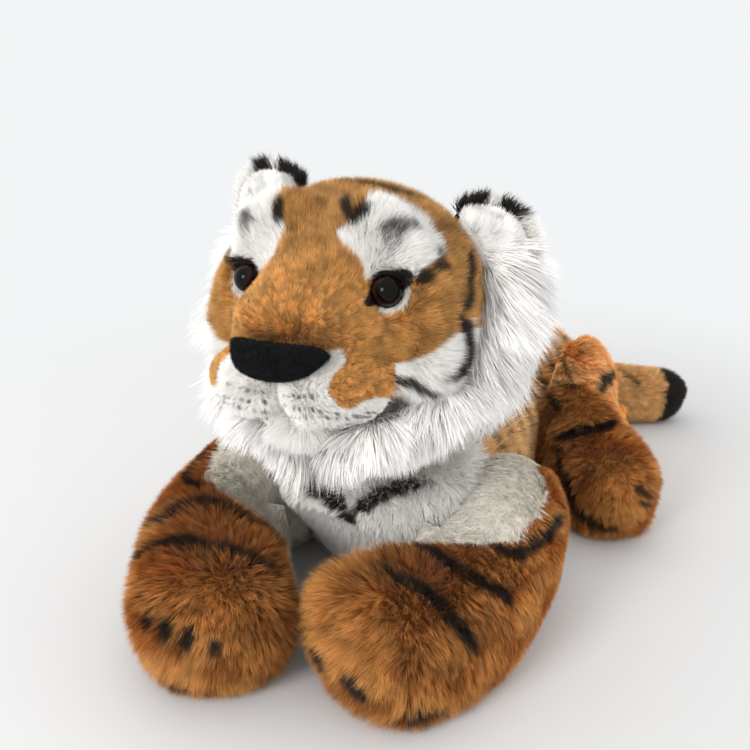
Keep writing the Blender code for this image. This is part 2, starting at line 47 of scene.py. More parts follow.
# Places of the joints, as in the part
SHOULDERS = {"left": (66.0, -48.0, 42.0), "right": (-66.0, -48.0, 42.0)}
SHOULDER_RADIUS = 36.0
HIND_ORIGIN = (14.0, 113.0, 0.0)
HIND_TURN = math.radians(-6.3)
HEAD_CENTRE = (-5.0, -86.0, 173.0)
HEAD_YAW = math.radians(2.4)
HEAD_PITCH = math.radians(-11.5)
HEAD_ROLL = math.radians(-2.0)

# Real pile is finer and denser, and these are as coarse as they need to be to show
STRANDS = {"trunk": 190000, "front leg": 185000, "hind leg": 120000, "tail": 75000, "neck": 30000,
           "head": 420000, "nose": 16000, "ear": 26000, "ruff": 38000}

# Neck sleeve and soles
NECK_RADIUS = 34
FRONT_SOLE_RADIUS = 14.8
HIND_SOLE_RADIUS = 11.8

# How far each cover's backing lies under the tips of its pile
TRUNK_PILE = 5.5
LEG_PILE = 5.5
TAIL_PILE = 4.5
# The head's backing lies under its pile by this share of the pile's length
HEAD_PILE_SHARE = 0.68
# No strand goes below this height, and sections are averaged over this length
PILE_FLOOR = 0.3
EASE = 4.0

# Trunk: x, y, half width and top height
TORSO_ROWS = [(-4, -96, 24, 64), (-3, -88, 42, 84), (-2, -72, 58, 97), (-1, -48, 65, 105),
              (1, -14, 61, 107), (4, 26, 50, 103), (9, 70, 41, 98), (14, 113, 42, 98),
              (18, 142, 40, 92), (20.5, 160, 32, 79), (21.5, 171, 18, 62)]
TORSO_ENDS = ((-4, -100, 31), (22, 176, 31))
# The chest panel lies in front of this y
CHEST_FROM = -52

# Front legs: x, y, z, half width, half height and the power of the lower half
LEG_ROWS = {
    "left": [(73, -84, 40, 35, 40.5, 2.4), (71, -110, 37, 33.5, 37.5, 2.8),
             (59.5, -133, 36, 35, 36.5, 2.9), (45.5, -152, 36, 38.5, 36.5, 2.8),
             (37.5, -166, 35.5, 37, 34.5, 2.5), (33, -177, 34.5, 25, 24, 2.2)],
    "right": [(-77, -84, 41, 35, 41.5, 2.4), (-75, -116, 39, 33, 39.5, 2.8),
              (-60, -146, 37, 35.5, 37.5, 2.9), (-39.5, -169, 36, 41, 36.5, 2.8),
              (-26.5, -186, 35.5, 37, 34.5, 2.5), (-18, -199, 34.5, 24, 23.5, 2.2)],
}
LEG_ENDS = {"left": (31, -182, 34), "right": (-14, -205, 34)}

# Hind leg in the frame of the hind quarters, as in the part
HIP_OFFSET = 43.5
HIND_ROWS = [(42, 30, 49, 21, 32), (44, 12, 50.5, 29, 47), (46, -10, 51, 31.5, 51),
             (57, -28, 44, 30, 42.5), (77, -43, 34, 29, 34), (94, -57, 30.5, 30.5, 31),
             (106, -68, 28.5, 26, 28.5), (114, -76, 27, 15, 17)]
HIND_ENDS = ((39.5, 39, 48), (118, -80, 26))

# Tail: x, y, z, half width and half height
TAIL_ROWS = [(22, 173, 34, 23, 24), (34, 182, 32, 22, 23.5), (48, 191, 29, 21, 22.5),
             (70, 204, 25, 20.5, 22), (91, 217, 23, 19, 20.5), (102, 224, 22.5, 18, 19.5),
             (110, 230.5, 22, 13, 15), (114, 234.5, 21.5, 7, 8)]
TAIL_ENDS = ((8, 158, 36), (116, 237, 21))


def linear(code):
    """An sRGB hex colour as linear RGBA."""
    values = [int(code[i:i + 2], 16) / 255.0 for i in (1, 3, 5)]
    bright = [v / 12.92 if v <= 0.04045 else ((v + 0.055) / 1.055) ** 2.4 for v in values]
    return (*bright, 1.0)


def unit(v):
    """Vectors scaled to length one."""
    return v / np.maximum(np.linalg.norm(v, axis=-1, keepdims=True), 1e-9)


def smooth_step(low, high, x):
    """0 below low, 1 above high, and a cubic ease between."""
    t = np.clip((x - low) / (high - low), 0, 1)
    return t * t * (3 - 2 * t)


def turn_matrix(axis, angle):
    """A 3 by 3 turn about X, Y or Z."""
    i, j = {"X": (1, 2), "Y": (2, 0), "Z": (0, 1)}[axis]
    turn = np.eye(3)
    turn[i, i] = turn[j, j] = math.cos(angle)
    turn[i, j] = -math.sin(angle)
    turn[j, i] = math.sin(angle)
    return turn


def folded(p):
    """Points with x counted outwards on both sides: (|x|, y, z)."""
    return np.concatenate([np.abs(p[..., :1]), p[..., 1:]], -1)


def on_side(grid, side):
    """A left piece's grid, mirrored in X for the right side with its faces kept outwards."""
    return (grid * (-1, 1, 1))[:, ::-1] if side == "right" else grid


def far_along(path):
    """How far each point of a path lies from its first, along it."""
    return np.concatenate([[0], np.cumsum(np.linalg.norm(np.diff(path, axis=0), axis=1))])


def read_at(stops, far, rows):
    """The columns of rows, which are given at the distances far, at other stops."""
    return np.stack([np.interp(stops, far, column) for column in rows.T], 1)


def round_angles(sides, first=0.0):
    """Even angles round a ring of points."""
    return 2 * np.pi * (np.arange(sides) + first) / sides


def tube(centre, across, above, w, h, sides):
    """Rings along centres C, of half sizes w and h: P = C + across w cos a + above h sin a."""
    centre, across, above = (np.reshape(v, (-1, 1, 3)) for v in (centre, across, above))
    w, h = (np.reshape(v, (-1, 1, 1)) for v in (w, h))
    a = round_angles(sides)[:, None]
    return centre + across * w * np.cos(a) + above * h * np.sin(a)


HEAD_TURN = turn_matrix("Z", HEAD_YAW) @ turn_matrix("X", HEAD_PITCH) @ turn_matrix("Y", HEAD_ROLL)
HIND_AXES = turn_matrix("Z", HIND_TURN)


def from_head(p):
    """Head coordinates to the part's."""
    return p @ HEAD_TURN.T + HEAD_CENTRE


def to_head(p):
    """The part's coordinates to the head's."""
    return (p - HEAD_CENTRE) @ HEAD_TURN


def from_hind(p):
    """Hind quarters' coordinates to the part's."""
    return p @ HIND_AXES.T + HIND_ORIGIN


def to_hind(p):
    """The part's coordinates to the hind quarters'."""
    return (p - HIND_ORIGIN) @ HIND_AXES


def loft(rows, ends, sides=72, rings=96, low_power=2.0):
    """A closed tube through superellipse sections, rounded over at both poles.

    Row i is centre c_i, half width w_i, half height h_i, lower power and upper power. Centre,
    w^2 and h^2 are read along the path's length and averaged over EASE mm, so an end where w^2
    falls evenly to 0 is round. With T the path's direction, S = T x Z and U = S x T, the surface
    is c + S w sgn(cos a)|cos a|^(2/p) + U h sgn(sin a)|sin a|^(2/p), with p the upper power for
    sin a > 0 and the lower one below.
    """
    rows = [list(r) + [low_power] * (6 - len(r)) for r in rows]
    rows = np.array([r + [2.0] * (7 - len(r)) for r in rows], float)
    first = [*ends[0], 0, 0, *rows[0, 5:]]
    last = [*ends[1], 0, 0, *rows[-1, 5:]]
    rows = np.vstack([first, rows, last])
    rows[:, 3:5] **= 2
    far = far_along(rows[:, :3])
    even = np.linspace(0, far[-1], int(far[-1]) + 1)
    fine = read_at(even, far, rows)
    reach = int(3 * EASE)
    weights = np.exp(-0.5 * (np.arange(-reach, reach + 1) / EASE) ** 2)
    weights /= weights.sum()
    before = 2 * fine[0] - fine[1:reach + 1][::-1]
    after = 2 * fine[-1] - fine[-reach - 1:-1][::-1]
    padded = np.vstack([before, fine, after])
    fine = np.stack([np.convolve(column, weights, "valid") for column in padded.T], 1)
    stops = far[-1] * (1 - np.cos(np.linspace(0, np.pi, rings))) / 2
    fine = read_at(stops, even, fine)
    fine[:, 3:5] = np.sqrt(np.maximum(fine[:, 3:5], 0))
    centre = fine[:, :3]
    way = unit(np.gradient(centre, stops, axis=0))
    side = unit(np.cross(way, (0.0, 0.0, 1.0)))
    over = unit(np.cross(side, way))
    a = round_angles(sides, 0.5)
    c, s = np.cos(a)[None], np.sin(a)[None]
    p = np.where(s > 0, fine[:, 6:7], fine[:, 5:6])
    across = fine[:, 3:4] * np.sign(c) * np.abs(c) ** (2 / p)
    above = fine[:, 4:5] * np.sign(s) * np.abs(s) ** (2 / p)
    return centre[:, None] + side[:, None] * across[..., None] + over[:, None] * above[..., None]


def surface_normals(grid):
    """Unit normals of a grid that closes round its second index, outwards; a pole takes the mean
    of the ring beside it."""
    round_way = np.roll(grid, -1, 1) - np.roll(grid, 1, 1)
    normals = unit(np.cross(np.gradient(grid, axis=0), round_way))
    normals[0] = unit(normals[1].mean(0))
    normals[-1] = unit(normals[-2].mean(0))
    if np.einsum("ijk,ijk->", normals, grid - grid.mean((0, 1))) < 0:
        normals = -normals
    return normals


def settled(grid, inset):
    """A cover's outer form drawn in by the depth of its pile: P - N inset. Where it bears on the
    floor the pile is crushed, so there it is only lifted to 0.8 mm."""
    normals = surface_normals(grid)
    under = smooth_step(0.0, 16.0, grid[..., 2:]) * np.ones(3)
    under[..., 2:] = np.where(normals[..., 2:] < 0, under[..., 2:], 1.0)
    skin = grid - normals * inset * under
    skin[..., 2] = np.maximum(skin[..., 2], 0.8)
    return skin


def torso_skin():
    """The trunk's backing: sections from the chest to the rump, flat against the floor, with the
    chest filled out to the shoulders."""
    rows = []
    for x, y, w, top in TORSO_ROWS:
        yoke = float(smooth_step(50, 80, -y) * smooth_step(99, 90, -y))
        rows.append((x, y, top / 2, w * (1 + 0.2 * yoke), top / 2, 3.4, 2 + 1.0 * yoke))
    return settled(loft(rows, TORSO_ENDS, sides=96), TRUNK_PILE)


def leg_skin(side):
    """A front leg's backing, from its round root in the shoulder to the toes."""
    x, y, z = SHOULDERS[side]
    rows = LEG_ROWS[side]
    way = unit(np.array(rows[0][:2], float) - (x, y))
    start = []
    for s in (33.5, 27, 17, 7, 0):
        share = math.sqrt(1 - (s / SHOULDER_RADIUS) ** 2)
        start.append((x - way[0] * s, y - way[1] * s, z, SHOULDER_RADIUS * share, 42.5 * share, 2.0))
    root = (x - way[0] * 36, y - way[1] * 36, z)
    return settled(loft(start + rows, (root, LEG_ENDS[side]), sides=80), LEG_PILE)


def tail_skin():
    """The tail's backing, from its root in the rump to the tip."""
    return settled(loft(TAIL_ROWS, TAIL_ENDS, sides=56, low_power=2.4), TAIL_PILE)


def egg(p, centre, radii):
    """About how far points lie outside an ellipsoid: k0 (k0 - 1) / k1, with k0 = |q / r| and
    k1 = |q / r^2|, where q is a point from the centre."""
    q = p - centre
    r = np.array(radii, float)
    k0 = np.linalg.norm(q / r, axis=-1)
    k1 = np.maximum(np.linalg.norm(q / (r * r), axis=-1), 1e-9)
    return k0 * (k0 - 1) / k1


def melt(a, b, k):
    """A union of two distances whose join is rounded over k mm."""
    h = np.clip(0.5 + 0.5 * (b - a) / k, 0, 1)
    return b + (a - b) * h - k * h * (1 - h)


def field_skin(distance, middle, reach, rows, sides):
    """The outermost surface of a distance field seen from its middle: r(a, b) along each
    direction, with poles on Y, found by stepping inwards from reach mm."""
    a, b = np.meshgrid(np.linspace(0, np.pi, rows), round_angles(sides), indexing="ij")
    way = np.stack([np.sin(a) * np.cos(b), np.cos(a), np.sin(a) * np.sin(b)], -1)
    r = np.full(a.shape, float(reach))
    for _ in range(70):
        r = r - 0.8 * distance(middle + way * r[..., None])
    return middle + way * r[..., None]


def hind_skin(side):
    """A hind leg's backing: haunch and foot, its inner side flat against the flank."""
    grid = settled(loft(HIND_ROWS, HIND_ENDS, sides=90, rings=110, low_power=3.0), LEG_PILE)
    grid[..., 0] = np.maximum(grid[..., 0], HIP_OFFSET - 1.0)
    return from_hind(on_side(grid, side))


# The stuffed forms of the face in head coordinates: centre, radii and the softness of the join
SKULL = ((0, 3, -1), (65.5, 55, 56))
BRIDGE = [((0, -40, 15), (15, 12, 13), 14), ((0, -50, 9), (18, 14, 15), 12),
          ((0, -59, 1), (21, 15, 16), 10), ((0, -67, -8), (23.5, 13, 13), 7)]
CHEEKS = [((46, -20, -22), (22, 27, 27), 14), ((44, -24, 2), (16, 20, 18), 14)]
BROWS = [((29, -37, 26), (18, 11, 13), 14), ((21, -36, 36), (16, 10, 12), 12)]
SNOUT_SIDES = [((22, -48, -16), (16, 17, 20), 9)]
LOBES = [((17, -56, -38), (20, 17, 19), 3.5), ((30, -48, -37), (13, 13, 15), 9)]
CHIN = ((0, -44, -60), (19, 17, 12.5))
MUZZLE_LEAN = 5.5
EYE_SEAT = np.array((35.0, -43.5, 5.5))
EYE_HOLLOW = EYE_SEAT + (3.0, -6.0, 0.5)
HOLLOW_RADIUS = 9.5
EYE_RADIUS = 6.6
EYE_HEIGHT = 6.4
# The eye's own directions: out of the head, towards the temple and up
EYE_AXIS = unit(np.array((0.5, -0.866, 0.12)))
EYE_OUT = unit(np.cross(EYE_AXIS, (0.0, 0.0, -1.0)))
EYE_UP = np.cross(EYE_AXIS, EYE_OUT)


def round_eye(m):
    """Distance from the eye's axis and the angle round it, 0 outwards and a right angle up."""
    across, above = (m - EYE_SEAT) @ EYE_OUT, (m - EYE_SEAT) @ EYE_UP
    return np.hypot(across, above), np.arctan2(above, across)


def rim_reach(angle):
    """The felt rim's outline: 7.2 mm with a point towards the temple and one towards the nose."""
    near = np.angle(np.exp(1j * (angle - math.radians(38))))
    far = np.angle(np.exp(1j * (angle - math.radians(212))))
    high = 2.0 * np.maximum(np.sin(angle), 0)
    return 7.2 + 4.6 * np.exp(-(near / 0.42) ** 2) + 5.2 * np.exp(-(far / 0.26) ** 2) + high


def leaned(p):
    """Head coordinates in which the muzzle is straight: it leans to the right below the nose's
    top edge."""
    q = p.copy()
    q[..., 0] += MUZZLE_LEAN * smooth_step(-14, -36, p[..., 2]) * smooth_step(-40, -58, p[..., 1])
    return q


def face_distance(p):
    """The head's distance field: the skull melted with its bridge, brows, cheeks, lobes and chin,
    with a hollow round each eye."""
    p = leaned(p)
    q = folded(p)
    d = egg(q, *SKULL)
    for centre, radii, k in CHEEKS + BROWS + BRIDGE + SNOUT_SIDES:
        d = melt(d, egg(q, centre, radii), k)
    lobe = np.full(d.shape, 1e3)
    for centre, radii, k in LOBES:
        lobe = melt(lobe, egg(q, centre, radii), k)
    d = melt(d, egg(p, *CHIN), 4)
    d = melt(d, lobe, 5.0)
    socket = np.linalg.norm(q - EYE_HOLLOW, axis=-1) - HOLLOW_RADIUS
    return -melt(-d, socket, 3.0)


def head_pile(q):
    """Length of the head's pile in mm: short on the bridge, the muzzle and round the eyes,
    longer on the cheeks, the crown and the chin. Also says where the lobes and the chin are."""
    q = leaned(q)
    m = folded(q)
    lobe = np.minimum(egg(m, *LOBES[0][:2]), egg(m, *LOBES[1][:2])) < 2.5
    lobe &= (q[..., 2] < -22) & (q[..., 1] < -44)
    chin = (egg(q, *CHIN) < 3) & ~lobe & (q[..., 1] < -20)
    snout = smooth_step(22, 50, np.linalg.norm(q - (0, -66, -18), axis=-1))
    length = 4.2 + 5.3 * snout
    eye = np.linalg.norm(m - EYE_HOLLOW, axis=-1)
    length = length * (0.45 + 0.55 * smooth_step(10, 20, eye))
    return np.where(lobe, 3.4, np.where(chin, 12.0, length)), lobe, chin


def head_skin():
    """The head's backing: the distance field's surface, drawn in by a share of the length of its
    pile, which is averaged between neighbours first."""
    grid = field_skin(face_distance, np.array((0.0, -8.0, -10.0)), 105, 150, 180)
    length = head_pile(grid)[0]
    for _ in range(6):
        length[1:-1] = (length[:-2] + 2 * length[1:-1] + length[2:]) / 4
        length = (np.roll(length, 1, 1) + 2 * length + np.roll(length, -1, 1)) / 4
    return from_head(grid - surface_normals(grid) * (HEAD_PILE_SHARE * length)[..., None])


# Marks of the coat: path, half width and strength. Head marks take x for both sides
BROW_PATCH = {
    "left": [(11, 30), (18, 23), (24, 17), (26, 11), (31, 10), (44, 12), (49, 15), (52, 19),
             (51, 25), (49, 33), (44, 40), (36, 46), (29, 50), (19, 54), (22, 47), (23, 43),
             (21, 36), (15, 31)],
    "right": [(15, 30), (16, 23), (18, 17), (24, 11), (32, 9), (44, 10), (49, 18), (56, 27),
              (57, 44), (44, 51), (30, 50), (22, 46), (20, 37)],
}
WHITE_FACE = [(-1, -21.5), (19, -21.5), (25, -19), (27, -23), (28.5, -30), (28.5, -36), (31, -42),
              (34, -44.5), (39, -42), (45, -37), (45, -33), (45, -26), (53, -21), (58, -18),
              (63, -12), (66, -10), (65, -6), (110, 0), (110, -110), (-1, -110)]
CROWN_STRIPES = [([(-12, -10, 53), (0, -8, 55), (12, -10, 53), (24, -7, 50), (34, -1, 46)], 4.2, 1.0),
                 ([(-34, 12, 48), (0, 16, 56), (34, 12, 48)], 3.4, 0.9),
                 ([(-40, 30, 36), (0, 34, 47), (40, 30, 36)], 3.2, 0.9),
                 ([(-34, 46, 18), (0, 51, 24), (34, 46, 18)], 3.2, 0.9),
                 ([(-28, 54, -6), (0, 58, -2), (28, 54, -6)], 3.0, 0.9)]
FOREHEAD_MARKS = [([(1, -22, 48), (9, -37, 46), (14, -45, 40), (17, -48, 33)], 3.2, 0.95),
                  ([(25, -43, 42), (20, -46, 38), (17, -48, 34)], 3.8, 0.95),
                  ([(-20, -43, 44), (-19, -46, 38), (-17, -49, 31)], 3.2, 0.95),
                  ([(-12, -26, 48), (-14, -38, 45), (-18, -43, 42)], 1.6, 0.7)]
FACE_STRIPES = [([(48, -40, 12), (54, -34, 14)], 3.0, 0.95),
                ([(52, -34, 17), (57, -23, 20)], 4.4, 0.9),
                ([(52, -28, 21), (52, -17, 27)], 3.0, 0.8),
                ([(58, 2, 26), (61, -6, 16), (62, -12, 8), (63, -18, 2), (63, -25, -4)],
                 4.2, 0.95),
                ([(63, -27, -5), (65, -21, -12), (65, -19, -20), (64, -21, -27), (60, -33, -31)],
                 5.8, 1.0),
                ([(42, -46, -37), (44, -45, -34), (47, -43, -33), (51, -40, -36), (55, -36, -39),
                  (60, -28, -43)], 3.0, 0.95),
                ([(52, -41, -39), (58, -34, -42)], 3.6, 0.65)]
LOBE_SEAM = [(0, -71, -36), (0, -69, -42), (0, -66, -48), (0, -60, -57)]
WHISKER_ROWS = [[(5, -41), (13, -41), (21, -39.5)], [(5, -46), (20, -44), (31, -46.5)],
                [(7, -51), (24, -49), (34, -48.5), (42, -44)],
                [(9, -55.5), (22, -55), (32, -52), (40, -47.5)]]
BROW_SPOT = [(30, 33), (36, 38), (46, 36), (42, 29), (39, 20), (35, 21), (33, 28)]
# Painted shade in creases: between the forehead and the bridge, and between the snout and the cheek
CREASE_SHADE = [([(0, -50, 28), (7, -49, 29), (13, -48, 30)], 1.8, 0.9),
           ([(37, -50, -6), (41, -47, -14), (43, -46, -22), (45, -46, -28)], 1.8, 0.9)]
LEG_STRIPES = {
    "left": [([(38, -138, 71), (51, -136, 72), (61, -137, 72), (69, -140, 70), (78, -139, 67),
               (85, -137, 62), (93, -131, 56), (97, -122, 42)], 3.4, 1.0),
             ([(33, -165, 68), (42, -158, 72), (45, -154, 72)], 2.4, 0.6),
             ([(44, -154, 72), (50, -160, 71), (59, -160, 69), (70, -159, 64), (77, -158, 58),
               (83, -157, 51), (87, -154, 42), (91, -149, 34)], 4.0, 1.0),
             ([(73, -123, 73), (83, -116, 71), (91, -113, 67), (96, -106, 64), (101, -92, 63),
               (101, -73, 62), (101, -49, 56), (98, -41, 60)], 4.0, 1.0),
             ([(66, -126, 73), (76, -119, 73)], 3.0, 0.8),
             ([(22, -177, 35), (28, -181, 20)], 5.8, 1.0), ([(42, -186, 34), (50, -186, 19)], 5.6, 1.0),
             ([(60, -182, 6), (67, -181, 9), (74, -177, 11), (81, -164, 10)], 5.0, 1.0)],
    "right": [([(-92, -95, 76), (-93, -109, 74), (-89, -124, 74), (-83, -134, 73)], 3.6, 1.0),
              ([(-83, -134, 73), (-73, -140, 75), (-66, -138, 76)], 3.2, 0.9),
              ([(-94, -146, 38), (-86, -158, 56), (-73, -164, 67), (-69, -158, 71), (-60, -152, 74),
                (-49, -149, 73), (-38, -147, 70), (-28, -144, 65), (-19, -143, 57), (-16, -140, 49)],
               3.8, 1.0),
              ([(-86, -170, 34), (-80, -178, 50), (-69, -181, 60), (-55, -181, 68), (-45, -179, 71),
                (-33, -178, 71), (-23, -174, 70), (-14, -171, 66), (-7, -167, 59), (-1, -163, 50)],
               3.6, 1.0),
              ([(-45, -211, 49), (-49, -211, 41)], 4.2, 0.95),
              ([(-33, -213, 52), (-38, -214, 40)], 4.8, 1.0),
              ([(-21, -212, 49), (-26, -213, 38)], 4.8, 1.0),
              ([(-10, -206, 45), (-13, -207, 36)], 4.2, 0.9),
              ([(-50, -207, 6), (-29, -209, 7), (-12, -200, 8)], 5.0, 1.0)],
}
LEG_WHITE = {
    "left": [(82, -20), (82, -50), (91, -56), (94, -73), (93, -90), (92, -101), (86, -108), (77, -117),
             (65, -126), (51, -129), (39, -137), (28, -150), (0, -150), (0, 20), (82, 20)],
    "right": [(-94, -40), (-92, -94), (-81, -116), (-70, -132), (-59, -137), (-45, -136), (-33, -134),
              (-24, -134), (-13, -143), (-5, -152), (0, -152), (0, 20), (-94, 20)],
}
# Painted shade in creases of the front legs where they meet the chest
LEG_CREASE_SHADE = {"left": [([(46, -94, 68), (54, -91, 74), (64, -90, 79), (76, -84, 80)], 1.4, 0.9)],
               "right": [([(-78, -80, 80), (-60, -96, 78), (-46, -106, 72)], 1.2, 0.7)]}
HIND_STRIPES = [([(77, -38, 79), (76, -19, 81), (72, 7, 75), (68, 14, 70)], 4.6, 0.95),
                ([(43, -28, 95), (54, -38, 88), (62, -43, 82)], 2.6, 0.8),
                ([(43, -40, 80), (52, -44, 81), (63, -45, 81)], 2.2, 0.75),
                ([(43, -45, 73), (53, -52, 70), (59, -56, 66)], 3.0, 0.85),
                ([(54, -62, 50), (61, -64, 53), (69, -64, 57), (78, -61, 62), (84, -59, 63),
                  (88, -53, 64), (91, -40, 62)], 4.0, 1.0),
                ([(46, 30, 88), (56, 33, 74), (61, 33, 52)], 3.4, 0.9),
                ([(42, 42, 68), (50, 42, 52), (53, 39, 32)], 3.0, 0.85),
                ([(116, -78, 43), (122, -74, 36), (125, -66, 31)], 3.0, 0.9),
                ([(120, -79, 33), (124, -68, 27)], 2.6, 0.85),
                ([(60, -65, 48), (66, -72, 40), (73, -79, 33), (79, -83, 24), (86, -85, 16),
                  (95, -85, 12), (111, -80, 10)], 4.6, 0.9)]
CHEST_STRIPES = [([(-32, -107, 72), (-16, -113, 74), (-4, -117, 71), (5, -119, 64)], 6.6, 1.0),
                 ([(4, -119, 66), (12, -117, 70), (17, -111, 76), (26, -105, 80), (37, -99, 82),
                   (47, -93, 82)], 5.6, 1.0),
                 ([(3, -119, 67), (6, -119, 59), (8, -118, 51)], 7.0, 1.0)]
# Painted shade in a crease by the right front leg
CHEST_CREASE_SHADE = [([(-42, -106, 68), (-32, -113, 64), (-27, -114, 56), (-28, -99, 39)], 1.4, 0.9)]
TAIL_MARK = [([(76, 196, 44), (84, 197, 40), (90, 196, 34)], 2.6, 0.7),
             ([(52, 176, 46), (58, 182, 36)], 2.2, 0.5)]
# The share of the tail's length at which its black tip starts
TAIL_TIP_FROM = 0.79
# From one whisker dot to the next, and from one stripe of the flank to the next
DOT_STEP = 3.2
FLANK_STRIPE_STEP = 22.0


def ripple(p, size, seed):
    """Smooth noise from -1 to 1: five sine waves about size mm long in slanted directions."""
    rng = np.random.default_rng(seed)
    total = np.zeros(p.shape[:-1])
    for _ in range(5):
        way = unit(rng.normal(size=3))
        wave = size * rng.uniform(0.7, 1.5)
        total += np.sin(p @ way * (2 * np.pi / wave) + rng.uniform(0, 2 * np.pi))
    return np.clip(total / 2.6, -1, 1)


def stroke(p, path, half_width):
    """How deep points lie in a painted stripe: half width less the distance to the path, with
    the half width falling to a third at both ends."""
    path = np.asarray(path, float)
    steps = np.linalg.norm(np.diff(path, axis=0), axis=1)
    far = np.concatenate([[0], np.cumsum(steps)]) / steps.sum()
    best = np.full(p.shape[:-1], -1e3)
    for a, b, u, v in zip(path, path[1:], far, far[1:]):
        t = np.clip((p - a) @ (b - a) / ((b - a) @ (b - a)), 0, 1)
        gap = np.linalg.norm(p - a - t[..., None] * (b - a), axis=-1)
        along = u + (v - u) * t
        taper = np.minimum(1.0, 0.35 + 3.2 * np.minimum(along, 1 - along))
        best = np.maximum(best, half_width * taper - gap)
    return best


def inside(x, z, outline):
    """Signed depth inside a polygon: positive inside, from the nearest edge."""
    outline = np.asarray(outline, float)
    gap = np.full(x.shape, 1e3)
    within = np.zeros(x.shape, bool)
    for (ax, az), (bx, bz) in zip(outline, np.roll(outline, -1, 0)):
        ex, ez = bx - ax, bz - az
        t = np.clip(((x - ax) * ex + (z - az) * ez) / (ex * ex + ez * ez), 0, 1)
        gap = np.minimum(gap, np.hypot(x - ax - t * ex, z - az - t * ez))
        if ez != 0:
            within ^= ((az > z) != (bz > z)) & (x < ax + (z - az) * ex / ez)
    return np.where(within, gap, -gap)


def share(depth, soft=1.6):
    """From a signed depth in mm to a share between 0 and 1."""
    return smooth_step(-soft, soft, depth)


def paint(p, strokes, soft=1.8, wander=0.0):
    """The strongest of several stripes, with soft edges that wander a little."""
    best = np.zeros(p.shape[:-1])
    for path, half_width, strength in strokes:
        best = np.maximum(best, strength * share(stroke(p, path, half_width) + wander, soft))
    return best


def whisker_dots(x, z):
    """Specks at even steps along the whisker rows."""
    best = np.zeros(x.shape)
    for k, row in enumerate(WHISKER_ROWS):
        row = np.array(row, float)
        far = far_along(row)
        stops = np.arange(0.0, far[-1], DOT_STEP)
        slip = 0.9 * np.sin(stops * 2.1 + 3 * k)
        radius = 0.85 + 0.35 * np.sin(stops * 1.3 + k)
        for t, off, r in zip(stops, slip, radius):
            dx, dz = np.interp(t, far, row[:, 0]), np.interp(t, far, row[:, 1]) + off
            best = np.maximum(best, share(r - np.hypot(x - dx, (z - dz) * 0.8), 0.5))
    return best


def head_coat(p):
    """Dark and white shares of the head's pile, and its painted shade: darker in the creases, over the
    crown and on the outer cheeks.
    """
    q = to_head(p)
    straight = leaned(q)
    m = folded(q)
    x, y, z = m[..., 0], m[..., 1], m[..., 2]
    muzzle_x = np.abs(straight[..., 0])
    front = y < -5
    wobble = 1.2 * ripple(p, 14, 3)
    patches = [inside(x, z, BROW_PATCH[side]) for side in ("left", "right")]
    patch = np.where(q[..., 0] > 0, *patches)
    white = np.where(front, np.minimum(patch, -14.0 - y), -9) + wobble
    white = np.maximum(white, np.where(y < 30, inside(muzzle_x, z, WHITE_FACE), -9) + wobble)
    white = np.maximum(white, np.where(y < 40, np.minimum(y + 1, -z - 6), -9))
    r, angle = round_eye(m)
    under = np.where((angle > -2.0) & (angle < 0.75), 9.6 - r, -9)
    white = np.maximum(white, np.where(front, under, -9))
    dark = paint(m, FACE_STRIPES, 2.0, ripple(p, 9, 4))
    dark = np.maximum(dark, paint(q, CROWN_STRIPES + FOREHEAD_MARKS, 1.8))
    dark = np.maximum(dark, np.where(front, share(rim_reach(angle) - r, 0.8), 0))
    dark = np.maximum(dark, 0.8 * share(stroke(straight, LOBE_SEAM, 1.3), 0.6))
    spot = np.where(y < -24, inside(x, z, BROW_SPOT) * 0.7, -9)
    streaks = share(spot, 2.0) * (0.35 + 0.5 * smooth_step(20, 36, z))
    dots = np.where(y < -50, 0.7 * whisker_dots(muzzle_x, z), 0)
    # Painted shade: darker over the crown and on the outer cheeks, and in the creases
    shade = 0.5 * smooth_step(12, 34, z) + 0.3 * smooth_step(38, 54, x)
    shade = np.maximum(paint(m, CREASE_SHADE, 2.0), np.where(white < 0, shade, 0))
    return np.maximum(np.maximum(dark, streaks), dots), share(white, 1.2), shade


def leg_coat(side):
    """Dark and white shares of a front leg's pile, and its painted shade: darker in its creases, and
    painted light on its outer side, standing for the sheen of pile seen edge-on.
    """
    def coat(p):
        white = inside(p[..., 0], p[..., 1], LEG_WHITE[side]) + 1.6 * ripple(p, 16, 5)
        outer = np.abs(p[..., 0]) > 66
        white = np.where(outer, np.minimum(white, p[..., 2] - 66), white)
        dark = paint(p, LEG_STRIPES[side], 2.0, 0.8 * ripple(p, 10, 6))
        white = share(white, 1.2)
        # Painted light: the outer side is made paler, as painted sheen; the creases get painted shade
        flank = 0.35 * smooth_step(72, 96, np.abs(p[..., 0])) * (1 - white)
        return dark, white, paint(p, LEG_CREASE_SHADE[side], 1.6) - flank
    return coat


def hind_coat(p):
    """Dark and white shares of a hind leg's pile, and its painted shade, which is negative: painted
    light over the whole leg and more on top of the haunch.
    """
    q = folded(to_hind(p))
    dark = paint(q, HIND_STRIPES, 2.2, 0.8 * ripple(p, 10, 7))
    # Painted light, as negative shade: the whole leg a little lighter and the top of the haunch more
    haunch = smooth_step(36, 60, q[..., 2]) * smooth_step(-50, -30, q[..., 1])
    return dark, 0 * dark, -0.25 - 0.45 * haunch


